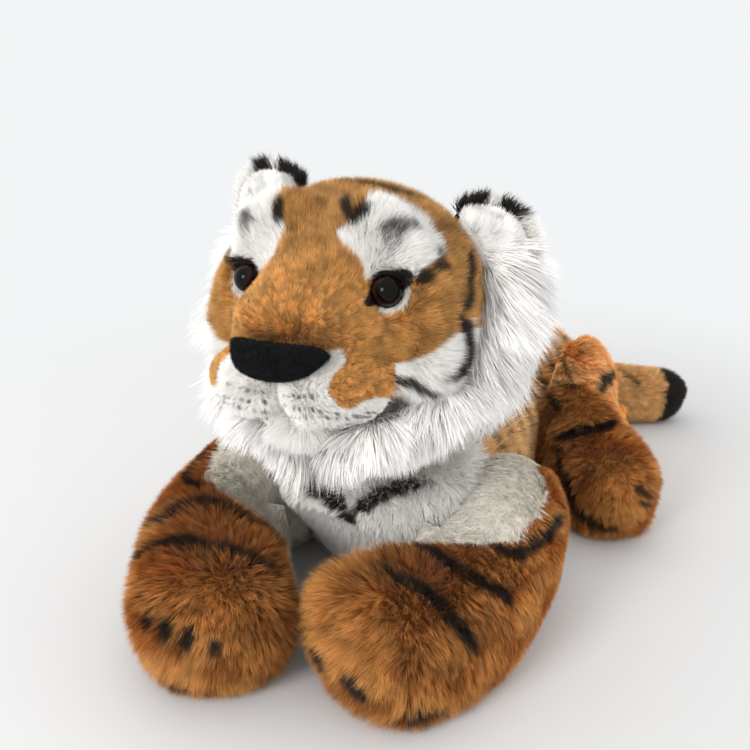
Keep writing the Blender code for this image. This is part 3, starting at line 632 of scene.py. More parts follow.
def torso_coat(p):
    """Dark and white shares of the trunk's pile, and its painted shade: a white chest with its V,
    stripes down each flank, pointed at both ends, and painted shade in a crease by the right front leg."""
    x, y, z = p[..., 0], p[..., 1], p[..., 2]
    centre = np.interp(y, [-96, -48, 26, 113, 171], [-4, -1, 4, 14, 21.5])
    turn = np.arctan2(np.abs(x - centre), z - 34)
    white = np.maximum(-50 - y + 0.15 * (z - 60), 15 - z) + 1.5 * ripple(p, 22, 8)
    bend = y - 10 * turn + 2.5 * ripple(p, 55, 9) + np.where(x > centre, 5, -5)
    number = np.floor(bend / FLANK_STRIPE_STEP)
    first = 0.12 + 0.2 * np.mod(number * 0.618, 1)
    last = 1.15 + 0.5 * np.mod(number * 0.414 + 0.3, 1)
    width = 3.9 * np.sqrt(np.clip((turn - first) / 0.25, 0, 1) * np.clip((last - turn) / 0.7, 0, 1))
    flank = width - np.abs(np.mod(bend, FLANK_STRIPE_STEP) - FLANK_STRIPE_STEP / 2) - 0.4
    flank = np.where((y > -46) & (y < 168) & (z > 20), flank, -9) + 0.6 * ripple(p, 9, 11)
    dark = np.maximum(0.95 * share(flank, 1.8), paint(p, CHEST_STRIPES, 2.2, 0.8 * ripple(p, 8, 12)))
    return dark, share(white, 1.2), paint(p, CHEST_CREASE_SHADE, 1.6)


def tail_share(p):
    """How far along the tail, from its root at 0 to its end at 1."""
    root = TAIL_ROWS[0][:3]
    way = np.subtract(TAIL_ENDS[1], root)
    return (p - root) @ way / (way @ way)


def tail_coat(p):
    """Dark, white and shaded shares of the tail's pile: faint marks and a black tip."""
    tip = (tail_share(p) - TAIL_TIP_FROM) * 110 + 1.5 * ripple(p, 14, 14)
    return np.maximum(paint(p, TAIL_MARK, 2.4), share(tip, 1.2)), 0 * tip, 0 * tip


def plain_white(p):
    """No dark pile: the white that the piece's own fabric has."""
    none = 0 * p[..., 0]
    return none, none, none


# Making meshes

def write_mesh(name, faces, body, material):
    """A smooth mesh object from its points, corners and face starts, riding on a body."""
    points, loops, starts = faces
    mesh = bpy.data.meshes.new(name)
    mesh.vertices.add(len(points))
    mesh.vertices.foreach_set("co", np.asarray(points * MM, np.float32).ravel())
    mesh.loops.add(len(loops))
    mesh.loops.foreach_set("vertex_index", np.asarray(loops, np.int32))
    mesh.polygons.add(len(starts))
    mesh.polygons.foreach_set("loop_start", np.asarray(starts, np.int32))
    mesh.update(calc_edges=True)
    mesh.shade_smooth()
    mesh.materials.append(material)
    thing = bpy.data.objects.new(name, mesh)
    bpy.context.scene.collection.objects.link(thing)
    if body:
        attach(thing, body)
    return thing


def closed_grid(grid):
    """Points, corners and face starts of a grid closed round, its first and last rows drawn to
    poles, with faces outwards."""
    n, m = grid.shape[:2]
    points = np.vstack([grid[:1, 0], grid[1:-1].reshape(-1, 3), grid[-1:, 0]])
    index = 1 + np.arange((n - 2) * m).reshape(n - 2, m)
    nxt = np.roll(index, -1, 1)
    quads = np.stack([index[:-1], nxt[:-1], nxt[1:], index[1:]], -1).reshape(-1, 4)
    last = len(points) - 1
    top = np.stack([np.zeros(m, int), nxt[0], index[0]], -1)
    foot = np.stack([np.full(m, last), index[-1], nxt[-1]], -1)
    a, b, d = (points[quads[:, k]] for k in (0, 1, 3))
    facing = np.einsum("ij,ij->", np.cross(b - a, d - a), a - points.mean(0))
    if facing < 0:
        quads, top, foot = quads[:, ::-1], top[:, ::-1], foot[:, ::-1]
    loops = np.concatenate([quads.ravel(), top.ravel(), foot.ravel()])
    four = 4 * np.arange(len(quads))
    three = 4 * len(quads) + 3 * np.arange(2 * m)
    return points, loops, np.concatenate([four, three])


def give(mesh, name, kind, values):
    """Store values on the mesh's points."""
    layer = mesh.attributes.new(name, kind, "POINT")
    key = "vector" if kind == "FLOAT_VECTOR" else "value"
    layer.data.foreach_set(key, np.asarray(values, np.float32).ravel())


def backing(name, body, grid, coat, material):
    """A cover's backing cloth: its surface with the coat's colours at the roots, which carry painted
    shade.
    """
    faces = closed_grid(grid)
    thing = write_mesh(name, faces, body, material)
    points = faces[0]
    # The coat's third share is painted shade, or painted light where it is negative, and it sets the
    # tone
    dark, white, painted_shade = coat(points)
    # The backing shows the root's colour, darkened with painted shade, where it is seen between the
    # strands
    root = np.full(len(points), 0.1)
    give(thing.data, "pile", "FLOAT_VECTOR", np.stack([dark, white, root], 1))
    give(thing.data, "tone_and_painted_shade", "FLOAT", ripple(points, 12, 2) * 0.3 - painted_shade)
    return thing


def scatter(grid, piece, seed, weight=None):
    """Roots for a piece's strands, spread over a grid by area: a quad is drawn by its area times
    weight, and a root is P(u, v) between its corners. Gives roots, normals and the direction
    along the grid."""
    rng = np.random.default_rng(seed)
    count = int(STRANDS[piece] * (1.0))
    normals = surface_normals(grid)
    along = np.gradient(grid, axis=0)
    ring = np.concatenate([grid, grid[:, :1]], 1)
    a, b, c, d = ring[:-1, :-1], ring[1:, :-1], ring[:-1, 1:], ring[1:, 1:]
    area = np.linalg.norm(np.cross(d - a, c - b), axis=-1) / 2
    if weight is not None:
        area = area * weight((a + b + c + d) / 4)
    chance = (area / area.sum()).ravel()
    pick = np.sort(rng.choice(area.size, count, p=chance))
    i, j = np.unravel_index(pick, area.shape)
    u, v = rng.random((2, count, 1))
    k = (j + 1) % grid.shape[1]

    def between(field):
        near = field[i, j] * (1 - v) + field[i, k] * v
        far = field[i + 1, j] * (1 - v) + field[i + 1, k] * v
        return near * (1 - u) + far * u
    return between(grid), unit(between(normals)), unit(between(along))


def tufts(p, size, seed):
    """A tuft number for each root: cells of a lattice of size mm, bent by smooth noise."""
    bent = p + size * 0.6 * np.stack([ripple(p, size * 2.7, seed + k) for k in range(3)], 1)
    cell = np.floor(bent / size).astype(np.int64)
    key = cell[:, 0] * 73856093 ^ cell[:, 1] * 19349663 ^ cell[:, 2] * 83492791
    return np.unique(key, return_inverse=True)[1]


def strands(name, body, roots, normals, comb, length, coat, material, seed, width=0.3, lean=0.75,
            rise=0.65, joints=1, tuft=4.0, pull=0.45, droop=0.0, stray=0.45):
    """Pile as tapered blades.

    A blade is c(s) = P + L (T lean s (0.6 + 0.4 s) + N rise s (1.4 - 0.4 s) - Z droop s^2), with
    s from 0 at the root to 1 at the tip, plus s^2 pull times the way to its tuft's mean tip. Its
    width falls from the root to a point. Its own front, bent a little towards the cover's
    normal, lights it, so that neither side of a blade goes dark.
    """
    rng = np.random.default_rng(seed)
    n = len(roots)
    comb = unit(unit(comb) + stray * rng.normal(size=(n, 3)))
    comb = comb - normals * np.einsum("ij,ij->i", comb, normals)[:, None]
    length = (length * rng.uniform(0.72, 1.18, n))[:, None]
    lean, rise = np.reshape(lean, (-1, 1)), np.reshape(rise, (-1, 1))
    up = rise * rng.uniform(0.75, 1.25, n)[:, None]
    s = np.linspace(0, 1, joints + 1)[:, None, None]
    path = roots + length * (comb * lean * s * (0.6 + 0.4 * s) + normals * up * s * (1.4 - 0.4 * s))
    path = path - length * droop * s * s * (0, 0, 1.0)
    tuft_of = tufts(roots, tuft, seed)
    held = np.bincount(tuft_of)[:, None]
    tip = np.stack([np.bincount(tuft_of, path[-1, :, k]) for k in range(3)], 1) / held
    path = path + s * s * pull * (tip[tuft_of] - path[-1])
    path[..., 2] = np.maximum(path[..., 2], PILE_FLOOR)
    way = unit(np.gradient(path, axis=0))
    across = unit(np.cross(way, normals))
    roll = rng.uniform(-0.9, 0.9, n)[:, None]
    across = across * np.cos(roll) + unit(np.cross(way, across)) * np.sin(roll)
    broad = (width * rng.uniform(0.7, 1.3, n))[:, None] * (1 - 0.25 * s)
    rows = 2 * joints + 1
    points = np.empty((n, rows, 3))
    facing = np.empty((n, rows, 3))
    front = unit(np.cross(across, way))
    front *= np.sign(np.einsum("ijk,jk->ij", front, normals))[..., None]
    lit = front + 0.35 * normals
    for k in range(joints):
        points[:, 2 * k] = path[k] - across[k] * broad[k] / 2
        points[:, 2 * k + 1] = path[k] + across[k] * broad[k] / 2
        facing[:, 2 * k] = facing[:, 2 * k + 1] = lit[k]
    points[:, -1] = path[-1]
    facing[:, -1] = lit[-1]
    base = np.array([(2 * k, 2 * k + 1, 2 * k + 3, 2 * k + 2) for k in range(joints - 1)]).ravel()
    blade = np.concatenate([base, (2 * joints - 2, 2 * joints - 1, 2 * joints)]).astype(int)
    loops = (rows * np.arange(n)[:, None] + blade).ravel()
    inner = np.concatenate([4 * np.arange(joints - 1), [4 * (joints - 1)]]).astype(int)
    starts = (len(blade) * np.arange(n)[:, None] + inner).ravel()
    thing = write_mesh(name, (points.reshape(-1, 3), loops, starts), body, material)
    thing.data.normals_split_custom_set_from_vertices(unit(facing.reshape(-1, 3)))
    # The coat's third share is painted shade, or painted light where it is negative
    dark, white, painted_shade = coat(roots + 0.7 * (path[-1] - roots))
    dark = np.clip((dark - 0.75 * rng.random(n)) / 0.25, 0, 1) * np.sqrt(dark)
    white = np.clip((white - 0.8 * rng.random(n)) / 0.2, 0, 1)
    # Tone differs at random by strand, tuft and place, and then takes the painted shade
    tone_and_painted_shade = 0.4 * rng.uniform(-1, 1, n) + 0.8 * rng.uniform(-1, 1, len(held))[tuft_of]
    tone_and_painted_shade = tone_and_painted_shade + 0.35 * ripple(roots, 9, seed + 5) - 1.4 * painted_shade
    reach = np.append(np.repeat(np.arange(joints) / joints, 2), 1.0)
    look = np.stack([np.repeat(dark, rows), np.repeat(white, rows), np.tile(reach, n)], 1)
    give(thing.data, "pile", "FLOAT_VECTOR", look)
    give(thing.data, "tone_and_painted_shade", "FLOAT", np.repeat(tone_and_painted_shade, rows))
    columns = math.ceil(math.sqrt(n))
    corner = np.stack([np.arange(n) % columns, np.arange(n) // columns], 1)[:, None]
    side_of = np.array([0.2, 0.8] * joints + [0.5])
    spot = np.stack([side_of, 0.08 + 0.84 * reach], 1)[blade]
    uv = (corner + spot[None]) / columns
    layer = thing.data.uv_layers.new(name="OFBake")
    layer.uv.foreach_set("vector", uv.astype(np.float32).ravel())
    return thing


# Materials

def put(node, values):
    """Set a node's own sockets."""
    for socket, value in values.items():
        node.inputs[socket].default_value = value


def add_node(tree, kind, links=None, values=None, stops=(), **settings):
    """Add a node with its settings, its sockets' values and links, and a ramp's colour stops."""
    node = tree.nodes.new("ShaderNode" + kind)
    for key, value in settings.items():
        setattr(node, key, value)
    put(node, values or {})
    for socket, source in (links or {}).items():
        tree.links.new(source, node.inputs[socket])
    if stops:
        elements = node.color_ramp.elements
        while len(elements) < len(stops):
            elements.new(0.5)
        for element, (place, code) in zip(elements, stops):
            element.position = place
            element.color = linear(code)
    return node


def blank(name):
    """A new material with its shader and tree."""
    material = bpy.data.materials.new(name)
    material.use_nodes = True
    tree = material.node_tree
    return material, tree, tree.nodes["Principled BSDF"]


def pile_fabric(name, ground, pale, dark, roughness=0.75, sheen=0.08, contrast=0.28):
    """Cut pile in three dyes. Each runs from a root darkened with painted shade to a paler tip, and each
    tuft and strand differs a little; the dark roots paint the shade that gives the eye depth between the
    strands.
    White pile differs less, and sheen stands for the light that fine fibres scatter."""
    material, tree, shader = blank(name)
    pile = add_node(tree, "Attribute", attribute_name="pile").outputs["Vector"]
    # This attribute holds random tone together with painted shade and painted light, which set the dye's
    # brightness
    tone_and_painted_shade = add_node(tree, "Attribute", attribute_name="tone_and_painted_shade").outputs["Fac"]
    parts = add_node(tree, "SeparateXYZ", {"Vector": pile})
    mark, white, rise = (parts.outputs[k] for k in "XYZ")
    dyes = [add_node(tree, "ValToRGB", {"Fac": rise}, stops=stops).outputs["Color"]
            for stops in (ground, pale, dark)]
    mixed = dyes[0]
    for part, dye in ((white, dyes[1]), (mark, dyes[2])):
        links = {"Factor": part, 6: mixed, 7: dye}
        mixed = add_node(tree, "Mix", links, data_type="RGBA").outputs[2]
    swing = add_node(tree, "Math", {0: white}, {1: 0.08 - contrast, 2: contrast},
                     operation="MULTIPLY_ADD").outputs[0]
    level = add_node(tree, "Math", {0: tone_and_painted_shade, 1: swing}, {2: 1.0}, operation="MULTIPLY_ADD").outputs[0]
    hue = add_node(tree, "HueSaturation", {"Color": mixed, "Value": level})
    tree.links.new(hue.outputs["Color"], shader.inputs["Base Color"])
    put(shader, {"Roughness": roughness, "Specular IOR Level": 0.3, "Sheen Weight": sheen,
                 "Sheen Roughness": 0.5})
    return material


def fine_grain(name, low, high, roughness, grain, sheen, bump):
    """A finish with a cloudy colour between two near ones and a bump grain mm across, which is
    coarser than the real grain so that it shows."""
    material, tree, shader = blank(name)
    place = add_node(tree, "TexCoord").outputs["Object"]
    clouds = add_node(tree, "TexNoise", {"Vector": place},
                      {"Scale": 1000.0 / (grain * 6), "Detail": 4.0}).outputs["Fac"]
    colour = add_node(tree, "ValToRGB", {"Fac": clouds}, stops=[(0.35, low), (0.7, high)])
    tree.links.new(colour.outputs["Color"], shader.inputs["Base Color"])
    nap = add_node(tree, "TexNoise", {"Vector": place},
                   {"Scale": 1000.0 / grain, "Detail": 2.0}).outputs["Fac"]
    raised = add_node(tree, "Bump", {"Height": nap}, {"Strength": bump, "Distance": 0.0004})
    tree.links.new(raised.outputs["Normal"], shader.inputs["Normal"])
    put(shader, {"Roughness": roughness, "Specular IOR Level": 0.2, "Sheen Weight": sheen})
    return material


def eye_plastic():
    """Moulded acrylic: a black pupil in a very dark brown iris under a clear gloss, so the eye
    looks deep and holds one small highlight."""
    material, tree, shader = blank("moulded_acrylic")
    ring = add_node(tree, "Attribute", attribute_name="ring").outputs["Fac"]
    stops = [(0.0, "#050507"), (0.70, "#060506"), (0.78, "#1c0e09"), (0.93, "#2a150c"), (1.0, "#0e0807")]
    colour = add_node(tree, "ValToRGB", {"Fac": ring}, stops=stops)
    tree.links.new(colour.outputs["Color"], shader.inputs["Base Color"])
    put(shader, {"Roughness": 0.05, "IOR": 1.49, "Specular IOR Level": 0.14})
    return material


# Dyes from root to tip for white and black pile; their darker roots are painted shade between the
# strands
PALE_RAMP = [(0.0, "#efebe4"), (0.5, "#f8f6f1"), (1.0, "#fdfcfa")]
DARK_RAMP = [(0.0, "#14100d"), (0.7, "#221c18"), (1.0, "#3a312a")]
# Acrylic pile of the head and chest: a warm orange, darker at the root as painted shade, whose tufts
# differ most, so it looks mottled
coat_fabric = pile_fabric("dyed_acrylic_pile", [(0.0, "#a86d30"), (0.45, "#c48740"), (1.0, "#e2ac66")],
                          PALE_RAMP, DARK_RAMP, contrast=0.38)
# Acrylic pile of the back, haunches and tail: an orange painted lighter than the head's, as painted
# light for these more shaded parts, and sandy at its tips
flank_fabric_painted_light = pile_fabric("acrylic_pile_painted_light", [(0.0, "#d39c5c"), (0.5, "#e5b06b"), (1.0, "#f5cc94")],
                           PALE_RAMP, DARK_RAMP)
# Acrylic pile of the arms and feet: a redder orange, a little darker than the head's as painted shade
# for the less lit limbs, with cream for white
limb_fabric_painted_shade = pile_fabric("red_acrylic_pile_painted_shade", [(0.0, "#ab6d30"), (0.5, "#bf7e3a"), (1.0, "#da9f5b")],
                          [(0.0, "#f6f1e4"), (1.0, "#fefbf3")], DARK_RAMP, sheen=0.05)
# Long acrylic pile of the ruff and ear linings, a little glossier, so its locks catch the light
ruff_fabric = pile_fabric("long_acrylic_pile", [(0.0, "#eeeae4"), (0.5, "#f7f5f2"), (1.0, "#fdfcfb")],
                          PALE_RAMP, DARK_RAMP, roughness=0.6)
# Nylon velour of the nose: a dense black nap with almost no shine
velour = fine_grain("nylon_velour", "#08090b", "#121417", 0.95, 0.5, 0.03, 0.7)
# Needled felt of the eye rims: matt black with a slightly rough face
felt_fabric = fine_grain("needled_felt", "#0c0b0b", "#1b1917", 0.95, 0.6, 0.03, 0.8)
# Moulded nylon of the eye washers: an even off-white with a soft shine
nylon = fine_grain("moulded_nylon", "#cfccc2", "#e0ddd4", 0.45, 1.2, 0.0, 0.1)
# Brushed tricot of the soles: a thin black fabric with a faint nap
sole_cloth = fine_grain("brushed_tricot", "#141312", "#22201e", 0.9, 0.8, 0.05, 0.6)
eye_gloss = eye_plastic()


# Covers and their pile

def side_seed(first, side):
    """A seed for each side, from the left side's."""
    return first + (side == "right")


def swirl(p, size, seed, strength):
    """A gentle wander of the combing, from smooth noise."""
    return strength * np.stack([ripple(p, size, seed + k) for k in range(3)], 1)


def thin_under(c):
    """Less pile where a cover lies on the floor."""
    return np.where(c[..., 2] < 4, 0.15, 1.0)


def dress_torso():
    """Trunk: pile combed back along the flanks, shorter and denser down the chest, thin where it
    lies on the floor."""
    grid = torso_skin()
    cover = backing("torso_backing", "torso", grid, torso_coat, coat_fabric)
    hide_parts("torso_filling", "belly_panel")

    def weight(c):
        return thin_under(c) * np.where(c[..., 1] < CHEST_FROM, 2.6, 1.0)
    roots, normals, along = scatter(grid, "trunk", 21, weight)
    chest = smooth_step(45, 70, -roots[:, 1])
    comb = along * (1 - chest)[:, None] + (0.35 + chest)[:, None] * (0.1, 0, -1.0)
    comb += swirl(roots, 35, 31, 0.25)
    length = 11.0 - 4.5 * chest
    front = roots[:, 1] < CHEST_FROM
    for name, node, chosen, finish, slot in (
            ("torso_back_pile", "torso_back_cover", ~front, flank_fabric_painted_light, "orange_pile"),
            ("chest_pile", "chest_panel", front, coat_fabric, "white_pile")):
        pile = strands(name, "torso", roots[chosen], normals[chosen], comb[chosen], length[chosen],
                       torso_coat, finish, 22, width=0.42, tuft=4.5)
        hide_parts(node)


def dress_leg(side):
    """Front leg: pile combed towards the toes, short where it is white, gathered in tufts on the
    paw."""
    grid = leg_skin(side)
    coat = leg_coat(side)
    name = "front_leg_" + side
    cover = backing(name + "_backing", name, grid, coat, limb_fabric_painted_shade)
    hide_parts(name + "_filling")
    roots, normals, _ = scatter(grid, "front leg", side_seed(41, side), thin_under)
    way = unit(np.subtract(LEG_ENDS[side], SHOULDERS[side]))
    white = coat(roots + 5 * normals)[1]
    comb = way + (0, 0, -0.55) + swirl(roots, 22, 43, 0.7) * (1 - 0.7 * white)[:, None]
    paw = smooth_step(95, 150, -roots[:, 1])
    length = 8.5 - 3.5 * white + 3.0 * paw
    pile = strands(name + "_pile", name, roots, normals, comb, length, coat, limb_fabric_painted_shade,
                   side_seed(44, side), width=0.34, lean=0.85 - 0.3 * paw,
                   rise=0.55 + 0.3 * paw - 0.2 * white, tuft=4.2, pull=0.5)
    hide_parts(name + "_cover")


def dress_hind(side):
    """Hind leg: pile combed down the haunch and out along the foot."""
    grid = hind_skin(side)
    name = "hind_leg_" + side
    cover = backing(name + "_backing", name, grid, hind_coat, flank_fabric_painted_light)
    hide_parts(name + "_filling")

    def weight(c):
        return thin_under(c) * np.where(np.abs(to_hind(c)[..., 0]) < HIP_OFFSET + 0.5, 0, 1)
    roots, normals, _ = scatter(grid, "hind leg", side_seed(51, side), weight)
    outwards = 0.55 if side == "left" else -0.55
    comb = swirl(roots, 22, 53, 0.6) + (outwards, -0.5, -0.65)
    foot = smooth_step(78, 60, roots[:, 1])
    parts = (("", foot < 0.5, flank_fabric_painted_light), ("_foot", foot >= 0.5, limb_fabric_painted_shade))
    for label, chosen, finish in parts:
        pile = strands(name + label + "_pile", name, roots[chosen], normals[chosen], comb[chosen],
                       9.5, hind_coat, finish, side_seed(54, side), width=0.36,
                       lean=0.6 if label else 0.8, rise=0.8 if label else 0.6, tuft=4.2, pull=0.5)
        if not label:
            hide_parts(name + "_cover")


def dress_tail():
    """Tail: pile combed to its tip."""
    grid = tail_skin()
    cover = backing("tail_backing", "tail", grid, tail_coat, coat_fabric)
    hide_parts("tail_filling")
    roots, normals, _ = scatter(grid, "tail", 61, thin_under)
    comb = unit(np.subtract(TAIL_ENDS[1], TAIL_ENDS[0]))
    comb = comb + (0, 0, -0.25) + swirl(roots, 25, 62, 0.35)
    tip = tail_share(roots) > TAIL_TIP_FROM
    for name, node, chosen, slot in (("tail_pile", "tail_cover", ~tip, "orange_pile"),
                                     ("tail_tip_pile", "tail_tip", tip, "black_pile")):
        pile = strands(name, "tail", roots[chosen], normals[chosen], comb[chosen], 7.5, tail_coat,
                       flank_fabric_painted_light, 64, width=0.34)
        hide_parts(node)


def dress_head():
    """Head: short pile on the bridge and muzzle, longer on the cheeks, combed away from the
    nose, with none on the eyes."""
    grid = head_skin()
    cover = backing("head_backing", "head", grid, head_coat, coat_fabric)
    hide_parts("head_filling")

    def weight(c):
        q = folded(to_head(c))
        eye = np.linalg.norm(q - EYE_HOLLOW, axis=-1)
        front = np.where(q[..., 1] > 0, 0.45, 1.0) + np.where(q[..., 1] < -48, 0.5, 0.0)
        return np.where(eye < 10.5, 0, 1) * front
    roots, normals, _ = scatter(grid, "head", 71, weight)
    q = to_head(roots)
    away = unit(q - (0.0, -82.0, -42.0))
    cheek = smooth_step(20, 50, np.abs(q[:, :1]))
    comb = (away + cheek * (0, 0, -0.3)) @ HEAD_TURN.T
    comb += swirl(roots, 26, 72, 0.25)
    length, lobe, chin = head_pile(q)
    left = q[:, 0] > 0
    parts = [("head_pile_left", None, left & ~lobe & ~chin, 75, "orange_pile"),
             ("head_pile_right", "head_cover", ~left & ~lobe & ~chin, 76, "orange_pile"),
             ("muzzle_pile_left", "muzzle_left", left & lobe, 77, "white_pile"),
             ("muzzle_pile_right", "muzzle_right", ~left & lobe, 78, "white_pile"),
             ("chin_pile", "chin", chin, 79, "long_white_pile")]
    for name, node, chosen, seed, slot in parts:
        pile = strands(name, "head", roots[chosen], normals[chosen], comb[chosen], length[chosen],
                       head_coat, coat_fabric, seed, width=0.27, tuft=2.8, pull=0.4)
        if node:
            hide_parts(node)


# Nose pad: the part of an egg under a nearly level top edge that dips in the middle
NOSE_EGG = ((0, -70.5, -18.5), (25, 15, 15.8))


def nose_distance(p):
    """The nose pad's distance field: the egg cut along its top edge and its slanting sides, with
    soft corners."""
    p = leaned(p)
    top = p[..., 2] + 17.4 + 0.35 * (p[..., 1] + 78) + 0.8 * np.cos(p[..., 0] / 24 * np.pi)
    sides = 0.93 * (np.abs(p[..., 0] - 1) - 21.5) - 0.37 * (p[..., 2] + 21)
    return -melt(melt(-egg(p, *NOSE_EGG), -sides, 4.0), -top, 1.6)


def dress_nose():
    """Nose: a velour pad with a fringe of short fuzz."""
    grid = from_head(field_skin(nose_distance, np.array((0.0, -74.0, -25.0)), 34, 60, 72))
    pad = write_mesh("nose_pad", closed_grid(grid), "head", velour)
    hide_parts("nose")
    roots, normals, _ = scatter(grid, "nose", 91)
    comb = swirl(roots, 9, 92, 0.5) + (0, 0, -1.0)
    strands("nose_fuzz", "head", roots, normals, comb, 1.8, plain_white, velour, 93, width=0.25,
            tuft=3.0, pull=0.2)


def dress_eye(side):
    """Eye: a glossy dome, turned from (r, h) rows, over a black felt rim with two points. The
    felt reaches R(a) u round the axis and lies h - 0.3 - 0.016 (R u)^2 along it, with R the
    rim's outline, so that it falls away with the cheek."""
    rows = [(EYE_RADIUS * math.sin(v), EYE_HEIGHT * math.cos(v)) for v in np.linspace(0, np.pi / 2, 16)]
    rows += [(7.3, -0.6), (6.5, -0.9), (3.0, -1.0), (0.0, -1.0)]
    r, h = np.array(rows).T
    dome = tube(EYE_SEAT + EYE_AXIS * h[:, None], EYE_OUT, EYE_UP, r, r, 48)
    levels = [(0.0, 0.1), (0.5, 0.1), (0.9, 0.0), (1.0, -0.5), (0.97, -1.2), (0.5, -1.4), (0, -1.4)]
    u, h = np.array(levels).T[..., None]
    reach = rim_reach(round_angles(96)) * u
    ring = tube((0, 0, 0), EYE_OUT, EYE_UP, 1, 1, 96)
    felt = EYE_SEAT + ring * reach[..., None] + EYE_AXIS * (h - 0.3 - 0.016 * reach ** 2)[..., None]
    label = "eye_" + side
    for name, grid, finish, slot, node in ((label + "_dome", dome, eye_gloss, "eye_plastic", label),
                                           (label + "_felt", felt, felt_fabric, "black_felt",
                                            "eye_rim_" + side)):
        faces = closed_grid(from_head(on_side(grid, side)))
        piece = write_mesh(name, faces, "head", finish)
        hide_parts(node)
        away, _ = round_eye(folded(to_head(faces[0])))
        give(piece.data, "ring", "FLOAT", away / EYE_RADIUS)


# Ears, as in the part: seat, lean outwards and turn
EAR_SEATS = {"left": (56.5, 16.0, 21.5), "right": (-51.0, 8.0, 33.5)}
EAR_LEANS = {"left": math.radians(52), "right": math.radians(-40)}
EAR_TURNS = {"left": math.radians(14), "right": math.radians(-14)}
EAR_RADIUS = 22.5
SPOT_ANGLE = math.radians(128)


def ear_turn(side):
    """The ear's own axes in head coordinates: x across, y to its back and z to its tip."""
    return turn_matrix("Y", EAR_LEANS[side]) @ turn_matrix("Z", EAR_TURNS[side])


def ear_grid(side, rows):
    """A ply of an ear from (u, y) rows: P = (R u cos a, y, R u sin a), a little pointed, and drawn
    in on the side of the crown, where the ear is sewn down."""
    a = round_angles(96)
    inwards = a if side == "left" else np.mod(np.pi - a, 2 * np.pi)
    radius = EAR_RADIUS * (1 - 0.5 * smooth_step(2.9, 3.9, inwards))
    u, y = np.array(rows, float).T
    x = u[:, None] * radius * np.cos(a)
    z = u[:, None] * radius * (np.sin(a) + 0.06 * np.maximum(np.sin(a), 0) ** 3)
    return np.stack([x, y[:, None] + 0 * x, z], -1)


# From which to which angle round an ear its black rim is seen from the front, in degrees
EAR_BLACK = {"left": (62, 192), "right": (100, 192)}


def ear_dark(side):
    """The ear's back: black with a white spot that runs up to its rim."""
    low, high = EAR_BLACK[side]
    c, s = math.cos(SPOT_ANGLE), math.sin(SPOT_ANGLE)

    def coat(p):
        q = (to_head(p) - EAR_SEATS[side]) @ ear_turn(side)
        x = q[..., 0] if side == "left" else -q[..., 0]
        z = q[..., 2]
        angle = np.degrees(np.arctan2(z, x))
        white = np.where(x * c + z * s > 2, 2.8 - np.abs(z * c - x * s), -9)
        white = np.maximum(white, np.minimum(np.hypot(x, z) - 15, (92 - angle) * 0.12))
        behind = (q[..., 1] > 1.0) & (np.hypot(x, z) < EAR_RADIUS * 0.9)
        black = np.maximum(behind, share(np.minimum(angle - low, high - angle) * 0.4, 1.5))
        white = share(white, 1.0)
        return black * (1 - white), 1 + 0 * white, 0 * white
    return coat


def dress_ear(side):
    """Ear: a black back whose pile stands above the rim, and a full white lining."""
    back_rows = [(u, 1.0 + 6.0 * (1 - u * u) ** 0.7) for u in np.sin(np.linspace(0, 1.5, 18))]
    back_rows += [(1.0, 0.6), (0.97, 0.2), (0.6, 0.1), (0.0, 0.1)]
    front_rows = [(u, -0.8 - 5.5 * (1 - (u / 0.88) ** 2) ** 0.6) for u in np.linspace(0, 0.86, 18)]
    front_rows += [(0.88, -0.6), (0.86, -0.2), (0.5, -0.1), (0.0, -0.1)]
    turn = ear_turn(side)
    seat = EAR_SEATS[side]
    rng = np.random.default_rng(side_seed(101, side))
    plies = (("ear_back_" + side, back_rows, ear_dark(side), 1, coat_fabric, "black_pile"),
             ("ear_lining_" + side, front_rows, plain_white, -1, ruff_fabric, "white_pile"))
    for name, rows, coat, sign, finish, slot in plies:
        grid = from_head(seat + ear_grid(side, rows) @ turn.T)
        cover = backing(name + "_ply", "head", grid, coat, finish)
        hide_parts(name)
        roots, normals, _ = scatter(grid, "ear", rng)
        q = (to_head(roots) - seat) @ turn
        facing = normals @ HEAD_TURN @ turn @ (0, 1, 0) * sign
        outside = (egg(to_head(roots), *SKULL) > 1) & (facing > -0.6)
        roots, normals, q = roots[outside], normals[outside], q[outside]
        radial = q * (1, 0, 1) / EAR_RADIUS
        comb = (radial + (0, 0, 0.5)) @ turn.T @ HEAD_TURN.T + swirl(roots, 16, 103, 0.3)
        rim = smooth_step(0.5, 1.0, np.linalg.norm(radial, axis=1))
        length = 7.0 + 6.0 * rim if sign > 0 else 8.0 - 1.5 * rim
        strands(name + "_pile", "head", roots, normals, comb, length, coat, finish,
                side_seed(104, side), width=0.34, lean=0.9, rise=0.4, tuft=4.5, pull=0.35,
                joints=2)


# Ruff in head coordinates with x for both sides: path, half width fore and aft, and half height
RUFF_ROWS = [(56, 30, 32, 7, 5), (64, 28, 22, 13, 8), (67, 27, 6, 16, 9), (67, 23, -18, 16, 9),
             (60, 9, -42, 16, 9), (43, -14, -57, 16, 8), (24, -31, -65, 15, 8), (7, -37, -70, 12, 7)]


def ruff_frame(count):
    """The ruff's centre line with its directions outwards, back and along, and its half sizes."""
    rows = np.array(RUFF_ROWS, float)
    far = far_along(rows[:, :3])
    fine = read_at(np.linspace(0, far[-1], count), far, rows)
    for _ in range(6):
        fine[1:-1] = (fine[:-2] + 2 * fine[1:-1] + fine[2:]) / 4
    way = unit(np.gradient(fine[:, :3], axis=0))
    out = fine[:, :3] * (1, 0.35, 1) + (0, 0, 6.0)
    out = unit(out - way * np.einsum("ij,ij->i", out, way)[:, None])
    back = unit(np.cross(way, out))
    back *= np.sign(back[:, 1:2])
    return fine[:, :3], out, back, fine[:, 3], fine[:, 4]


